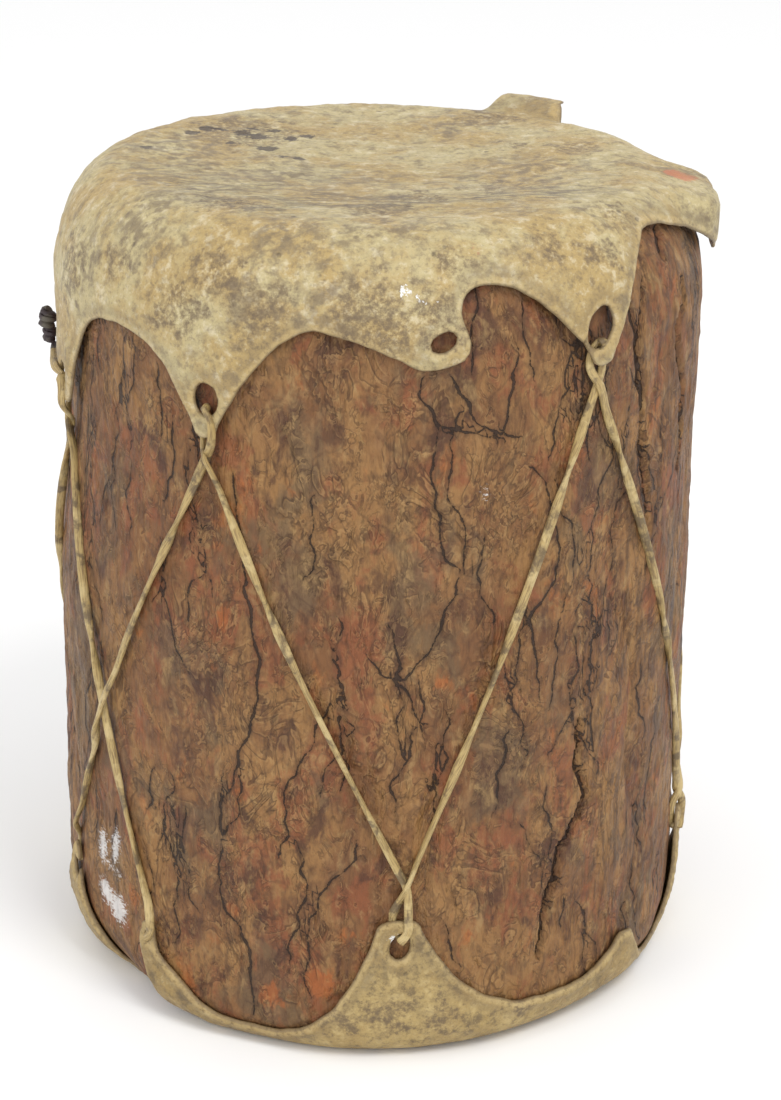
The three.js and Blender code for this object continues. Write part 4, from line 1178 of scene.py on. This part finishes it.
def bark_material():
    """Weathered bark: soft brown, ochre and red blotches, dark grain, thin winding cracks with painted shade
    in and beside them, painted shade in the pits and on the flake brinks, and painted highlights on the flake
    lips.
    """
    material, tree, shader, place = begin_material("flaky_bark")
    rough = attribute(tree, "rough")
    tall = stretched(tree, place, (1.0, 1.0, 0.6))
    upright = stretched(tree, place, (1.0, 1.0, 0.2))
    ochre = patches(tree, tall, 30, 0.42, 0.60, 3.1)
    colour = paint(tree, (0.184, 0.082, 0.031), (0.281, 0.145, 0.051), ochre)
    for tint, blotch, strength in (
        ((0.228, 0.071, 0.028), (44, 0.50, 0.60, 7.7), 0.75),
        ((0.116, 0.080, 0.043), (26, 0.52, 0.64, 12.9, 0.03), 0.65),
        ((0.073, 0.029, 0.016), (60, 0.55, 0.65, 21.3), 0.8),
        ((0.407, 0.127, 0.030), (64, 0.59, 0.72, 31.1), 0.5),
        ((0.349, 0.219, 0.090), (95, 0.56, 0.68, 44.0), 0.6),
    ):
        colour = paint(tree, colour, tint, patches(tree, tall, *blotch), strength)
    cloud = simple_noise(tree, tall, 150.0, 6.0, 0.65)
    colour = paint(tree, colour, (0.073, 0.034, 0.016), window(tree, cloud, 0.50, 0.70), 0.5)
    colour = paint(tree, colour, (0.388, 0.228, 0.096), window(tree, cloud, 0.47, 0.30), 0.3)
    for name, tint in (("dark", (0.068, 0.027, 0.015)), ("orange", (0.446, 0.127, 0.028))):
        mask = window(tree, frayed_field(tree, name, cloud, 30.0), -1.0, 4.0)
        colour = paint(tree, colour, tint, mask, 0.5)
    streak = simple_noise(tree, upright, 300.0, 5.0, 0.65)
    colour = paint(tree, colour, (0.058, 0.025, 0.013), window(tree, streak, 0.52, 0.70), 0.40)
    colour = paint(tree, colour, (0.407, 0.252, 0.114), window(tree, streak, 0.42, 0.28), 0.25)
    wide_rise, wide_shaded_brink, wide_lip_highlight = flakes(tree, tall, 38.0, 9.0)
    small_rise, small_shaded_brink, small_lip_highlight = flakes(tree, tall, 125.0, 5.0)
    # Painted highlights on the flakes' lips and painted shade along their brinks.
    for lip, shaded_brink in ((small_lip_highlight, small_shaded_brink), (wide_lip_highlight, wide_shaded_brink)):
        colour = paint(tree, colour, (0.440, 0.267, 0.107), lip, 0.26)
        colour = paint(tree, colour, (0.050, 0.022, 0.010), shaded_brink, 0.5)
    # Painted shade along the steps between the mesh's flake levels.
    ragged = simple_noise(tree, place, 220.0, 3.0)
    ragged = calculate(tree, "MULTIPLY_ADD", ragged, 0.5, attribute(tree, "flake"))
    level = calculate(tree, "FRACT", ragged)
    shaded_brink = calculate(tree, "MULTIPLY", window(tree, level, 0.70, 0.86), window(tree, level, 1.0, 0.88))
    colour = paint(tree, colour, (0.058, 0.025, 0.013), shaded_brink, 0.35)
    shake = calculate(tree, "SUBTRACT", simple_noise(tree, place, 420.0, 5.0, 0.65), 0.5)
    slow = calculate(tree, "SUBTRACT", simple_noise(tree, place, 95.0, 2.0), 0.56)
    shake = calculate(tree, "MULTIPLY_ADD", slow, -1.6, calculate(tree, "MULTIPLY", shake, 2.4))
    reach = calculate(tree, "ADD", shake, calculate(tree, "ABSOLUTE", attribute(tree, "crack_side")))
    gap = calculate(tree, "SUBTRACT", reach, attribute(tree, "crack_half"))
    # Painted shade: a soft dark band beside each crack and a near-black fill in its groove.
    near = window(tree, attribute(tree, "crack"), 3.4, 2.2)
    cut = calculate(tree, "MULTIPLY", window(tree, gap, 0.42, 0.05), near)
    shade = calculate(tree, "MULTIPLY", window(tree, gap, 2.4, 0.2), near)
    colour = paint(tree, colour, (0.049, 0.023, 0.010), shade, 0.34)
    colour = paint(tree, colour, (0.020, 0.010, 0.006), cut, 0.85)
    dust = simple_noise(tree, stretched(tree, place, (1.0, 1.0, 2.6)), 420.0, 5.0, 0.75)
    dusty = calculate(tree, "MULTIPLY_ADD", dust, 26.0, attribute(tree, "chalk"))
    colour = paint(tree, colour, (0.74, 0.72, 0.70), window(tree, dusty, 14.6, 17.0), 0.85)
    height, shaded_pit = grain(tree, tall, 380.0, 0.6)
    # Painted shade in the pits.
    colour = paint(tree, colour, (0.039, 0.019, 0.009), shaded_pit, 0.7)
    furrowed = calculate(tree, "MULTIPLY", rough, window(tree, streak, 0.47, 0.62))
    colour = paint(tree, colour, (0.049, 0.024, 0.013), furrowed, 0.35)
    shine = calculate(tree, "MULTIPLY_ADD", simple_noise(tree, place, 60.0), 0.3, 0.40)
    raised = height
    for rise, share in ((streak, 1.2), (level, 0.5), (wide_rise, 0.9), (small_rise, 0.6), (cut, -1.0)):
        raised = calculate(tree, "MULTIPLY_ADD", rise, share, raised)
    finish_material(tree, shader, colour, shine, raised, 1.0, 0.0014)
    shader.inputs["Specular IOR Level"].default_value = 0.3
    return material


def cut_wood_material():
    material, tree, shader, place = begin_material("cut_wood")
    fibres = simple_noise(tree, stretched(tree, place, (1.0, 1.0, 0.05)), 260.0, 5.0, 0.6)
    colour = paint(tree, (0.30, 0.19, 0.10), (0.16, 0.09, 0.045), window(tree, fibres, 0.4, 0.65))
    rough = calculate(tree, "MULTIPLY_ADD", fibres, 0.2, 0.65)
    finish_material(tree, shader, colour, rough, fibres, 0.4, 0.0008)
    return material


def hide_material(name, pale, warm, grey, light, seed):
    """Dried rawhide: mottled cream and buff, grime, dark spots, streaks on the head, pits with painted
    shade, a faint darker band inside the edge, a painted highlight on its lip and painted shade at it."""
    material, tree, shader, place = begin_material(name)
    edge = attribute(tree, "edge")
    colour = paint(tree, warm, pale, patches(tree, place, 26, 0.42, 0.60, seed + 1.3))
    mottle = simple_noise(tree, place, 130.0, 8.0, 0.68)
    colour = paint(tree, colour, grey, window(tree, mottle, 0.50, 0.66), 0.62)
    colour = paint(tree, colour, light, window(tree, mottle, 0.47, 0.34), 0.55)
    freckle = simple_noise(tree, place, 420.0, 5.0, 0.7)
    colour = paint(tree, colour, grey, window(tree, freckle, 0.50, 0.68), 0.5)
    colour = paint(tree, colour, light, window(tree, freckle, 0.45, 0.30), 0.4)
    grime = patches(tree, place, 17, 0.46, 0.64, seed + 9.4, 0.035)
    speck = patches(tree, place, 150, 0.42, 0.60, seed + 15.2, 0.01)
    colour = paint(tree, colour, grey, calculate(tree, "MULTIPLY", grime, speck), 0.75)
    stained = frayed_field(tree, "grime", mottle, 60.0)
    smudge = calculate(tree, "MULTIPLY", window(tree, stained, -4.0, 9.0), window(tree, freckle, 0.36, 0.60))
    colour = paint(tree, colour, (0.125, 0.082, 0.046), smudge, 0.68)
    blot = frayed_field(tree, "spot", freckle, 9.0)
    colour = paint(tree, colour, (0.045, 0.028, 0.020), window(tree, blot, 0.0, 1.6), 0.85)
    tinge = frayed_field(tree, "red", mottle, 26.0)
    colour = paint(tree, colour, (0.52, 0.16, 0.07), window(tree, tinge, 0.0, 4.0), 0.7)
    wide = stretched(tree, place, (0.16, 1.0, 1.0))
    streak = simple_noise(tree, wide, 430.0, 6.0, 0.65)
    zone = patches(tree, stretched(tree, place, (0.5, 1.0, 1.0)), 15, 0.38, 0.54, seed + 23)
    zone = calculate(tree, "MULTIPLY", attribute(tree, "head"), zone)
    streaks = calculate(tree, "MULTIPLY", zone, window(tree, streak, 0.43, 0.60))
    colour = paint(tree, colour, (0.120, 0.092, 0.066), streaks, 0.72)
    inner_line = calculate(tree, "MULTIPLY", window(tree, edge, 1.8, 3.6), window(tree, edge, 9.0, 4.0))
    colour = paint(tree, colour, (0.15, 0.105, 0.058), inner_line, 0.3)
    # Painted highlight along the rounded lip of the edge.
    lip = calculate(tree, "MULTIPLY", window(tree, edge, 3.2, 1.2), window(tree, freckle, 0.66, 0.44))
    colour = paint(tree, colour, (0.50, 0.37, 0.18), lip, 0.4)
    # Painted shade right at the cut edge, under the lip.
    colour = paint(tree, colour, (0.13, 0.085, 0.045), window(tree, edge, 0.9, 0.1), 0.6)
    white = frayed_field(tree, "white", freckle, 11.0)
    colour = paint(tree, colour, (0.86, 0.86, 0.84), window(tree, white, 0.2, 1.0), 0.95)
    height, shaded_pit = grain(tree, place, 330.0, 0.9)
    # Painted shade in the pits.
    colour = paint(tree, colour, (0.09, 0.065, 0.04), shaded_pit, 0.8)
    shine = calculate(tree, "MULTIPLY_ADD", simple_noise(tree, place, 45.0), 0.3, 0.36)
    raised = calculate(tree, "MULTIPLY_ADD", mottle, 1.9, height)
    raised = calculate(tree, "MULTIPLY_ADD", streaks, -0.4, raised)
    finish_material(tree, shader, colour, shine, raised, 0.65, 0.0015)
    return material


def knot_material():
    material, tree, shader, place = begin_material("blackened_knot")
    worn = patches(tree, place, 90, 0.48, 0.6, 2.0)
    colour = paint(tree, (0.045, 0.030, 0.032), (0.110, 0.095, 0.070), worn)
    height, shaded_pit = grain(tree, place, 500.0, 0.5)
    rough = calculate(tree, "MULTIPLY_ADD", height, 0.2, 0.45)
    finish_material(tree, shader, colour, rough, height, 0.5, 0.001)
    return material


def thong_material():
    material, tree, shader, place = begin_material("thong_hide")
    along = calculate(tree, "MULTIPLY", attribute(tree, "along"), 22.0)
    around = add_node(tree, "ShaderNodeAttribute", attribute_name="around").outputs["Vector"]
    lengthwise = add_node(tree, "ShaderNodeCombineXYZ", {2: along}).outputs[0]
    strand = add_node(tree, "ShaderNodeVectorMath", {0: around, 1: lengthwise}, operation="ADD").outputs[0]
    fibre = simple_noise(tree, strand, 7.0, 5.0, 0.6)
    colour = paint(tree, (0.46, 0.33, 0.13), (0.24, 0.16, 0.065), window(tree, fibre, 0.42, 0.64))
    colour = paint(tree, colour, (0.60, 0.47, 0.23), patches(tree, place, 60, 0.5, 0.60, 3.3), 0.6)
    colour = paint(tree, colour, (0.10, 0.065, 0.035), patches(tree, place, 75, 0.51, 0.63, 8.1), 0.8)
    height, shaded_pit = grain(tree, place, 700.0, 0.5)
    # Painted shade in the pits.
    colour = paint(tree, colour, (0.08, 0.05, 0.03), shaded_pit, 0.7)
    shine = calculate(tree, "MULTIPLY_ADD", fibre, 0.3, 0.36)
    raised = calculate(tree, "MULTIPLY_ADD", fibre, 1.6, height)
    finish_material(tree, shader, colour, shine, raised, 0.5, 0.0007)
    return material


# Stage, light and camera
CAMERA = dict(place=(0, -1.16006, 0.66105), down=22.0, across=0.41, roll=0.91, lens=83.45, film=36)
LIGHTS = [
    dict(name="key", place=(0.8, -1.2, 2.3), size=1.0, power=24),
    dict(name="fill", place=(-1.6, -1.4, 1.4), size=1.4, power=9),
]
LIT_PLACE = (0, 0, 0.2)
FLOOR_REACH = 6


def make_camera():
    """The camera at the photograph's angle: it looks down on the front of the drum."""
    down, across, roll = (math.radians(CAMERA[angle]) for angle in ("down", "across", "roll"))
    ahead = Vector((math.sin(across) * math.cos(down), math.cos(across) * math.cos(down), -math.sin(down)))
    level = Vector((math.cos(across), -math.sin(across), 0))
    above = level.cross(ahead)
    right = math.cos(roll) * level + math.sin(roll) * above
    up = -math.sin(roll) * level + math.cos(roll) * above
    data = bpy.data.cameras.new("photo_view")
    data.lens = CAMERA["lens"]
    data.sensor_width = CAMERA["film"]
    camera = bpy.data.objects.new("photo_view", data)
    bpy.context.scene.collection.objects.link(camera)
    turned = Matrix((right, up, -ahead)).transposed().to_4x4()
    camera.matrix_world = Matrix.Translation(CAMERA["place"]) @ turned
    bpy.context.scene.camera = camera


def make_floor():
    mesh = bpy.data.meshes.new("floor")
    side = FLOOR_REACH
    corners = [(-side, -side, 0), (side, -side, 0), (side, side, 0), (-side, side, 0)]
    mesh.from_pydata(corners, [], [(0, 1, 2, 3)])
    floor = bpy.data.objects.new("floor", mesh)
    bpy.context.scene.collection.objects.link(floor)
    material = bpy.data.materials.new("floor_white")
    material.use_nodes = True
    shader = material.node_tree.nodes["Principled BSDF"]
    shader.inputs["Base Color"].default_value = (0.93, 0.93, 0.93, 1)
    shader.inputs["Roughness"].default_value = 0.9
    mesh.materials.append(material)


def add_light(name, place, size, power):
    data = bpy.data.lights.new(name, "AREA")
    data.shape = "DISK"
    data.size = size
    data.energy = power
    light = bpy.data.objects.new(name, data)
    light.location = place
    light.rotation_euler = (Vector(LIT_PLACE) - Vector(place)).to_track_quat("-Z", "Y").to_euler()
    bpy.context.scene.collection.objects.link(light)


def make_lights():
    world = bpy.data.worlds.new("soft_room")
    world.use_nodes = True
    world.node_tree.nodes["Background"].inputs["Color"].default_value = (1, 1, 1, 1)
    world.node_tree.nodes["Background"].inputs["Strength"].default_value = 1.0
    bpy.context.scene.world = world
    bpy.context.scene.view_settings.view_transform = "Standard"
    for light in LIGHTS:
        add_light(**light)


make_camera()
make_floor()
make_lights()

PATCHES = patch_group()
GRAIN = grain_group()
FLAKES = flake_group()
make_bark(bark_material(), cut_wood_material())
upper = hide_material("upper_rawhide", (0.48, 0.395, 0.200), (0.42, 0.295, 0.112), (0.165, 0.120, 0.070),
                      (0.67, 0.59, 0.41), 0.0)
lower = hide_material("lower_rawhide", (0.42, 0.30, 0.115), (0.33, 0.22, 0.075), (0.10, 0.068, 0.034),
                      (0.54, 0.41, 0.19), 50.0)
stand_for(make_skin("upper_hide", TOP_TABS, TOP_SHEET, upper), "top_skin")
stand_for(make_skin("lower_hide", FOOT_TABS, FOOT_SHEET, lower), "bottom_skin")
make_lacing(thong_material(), knot_material())
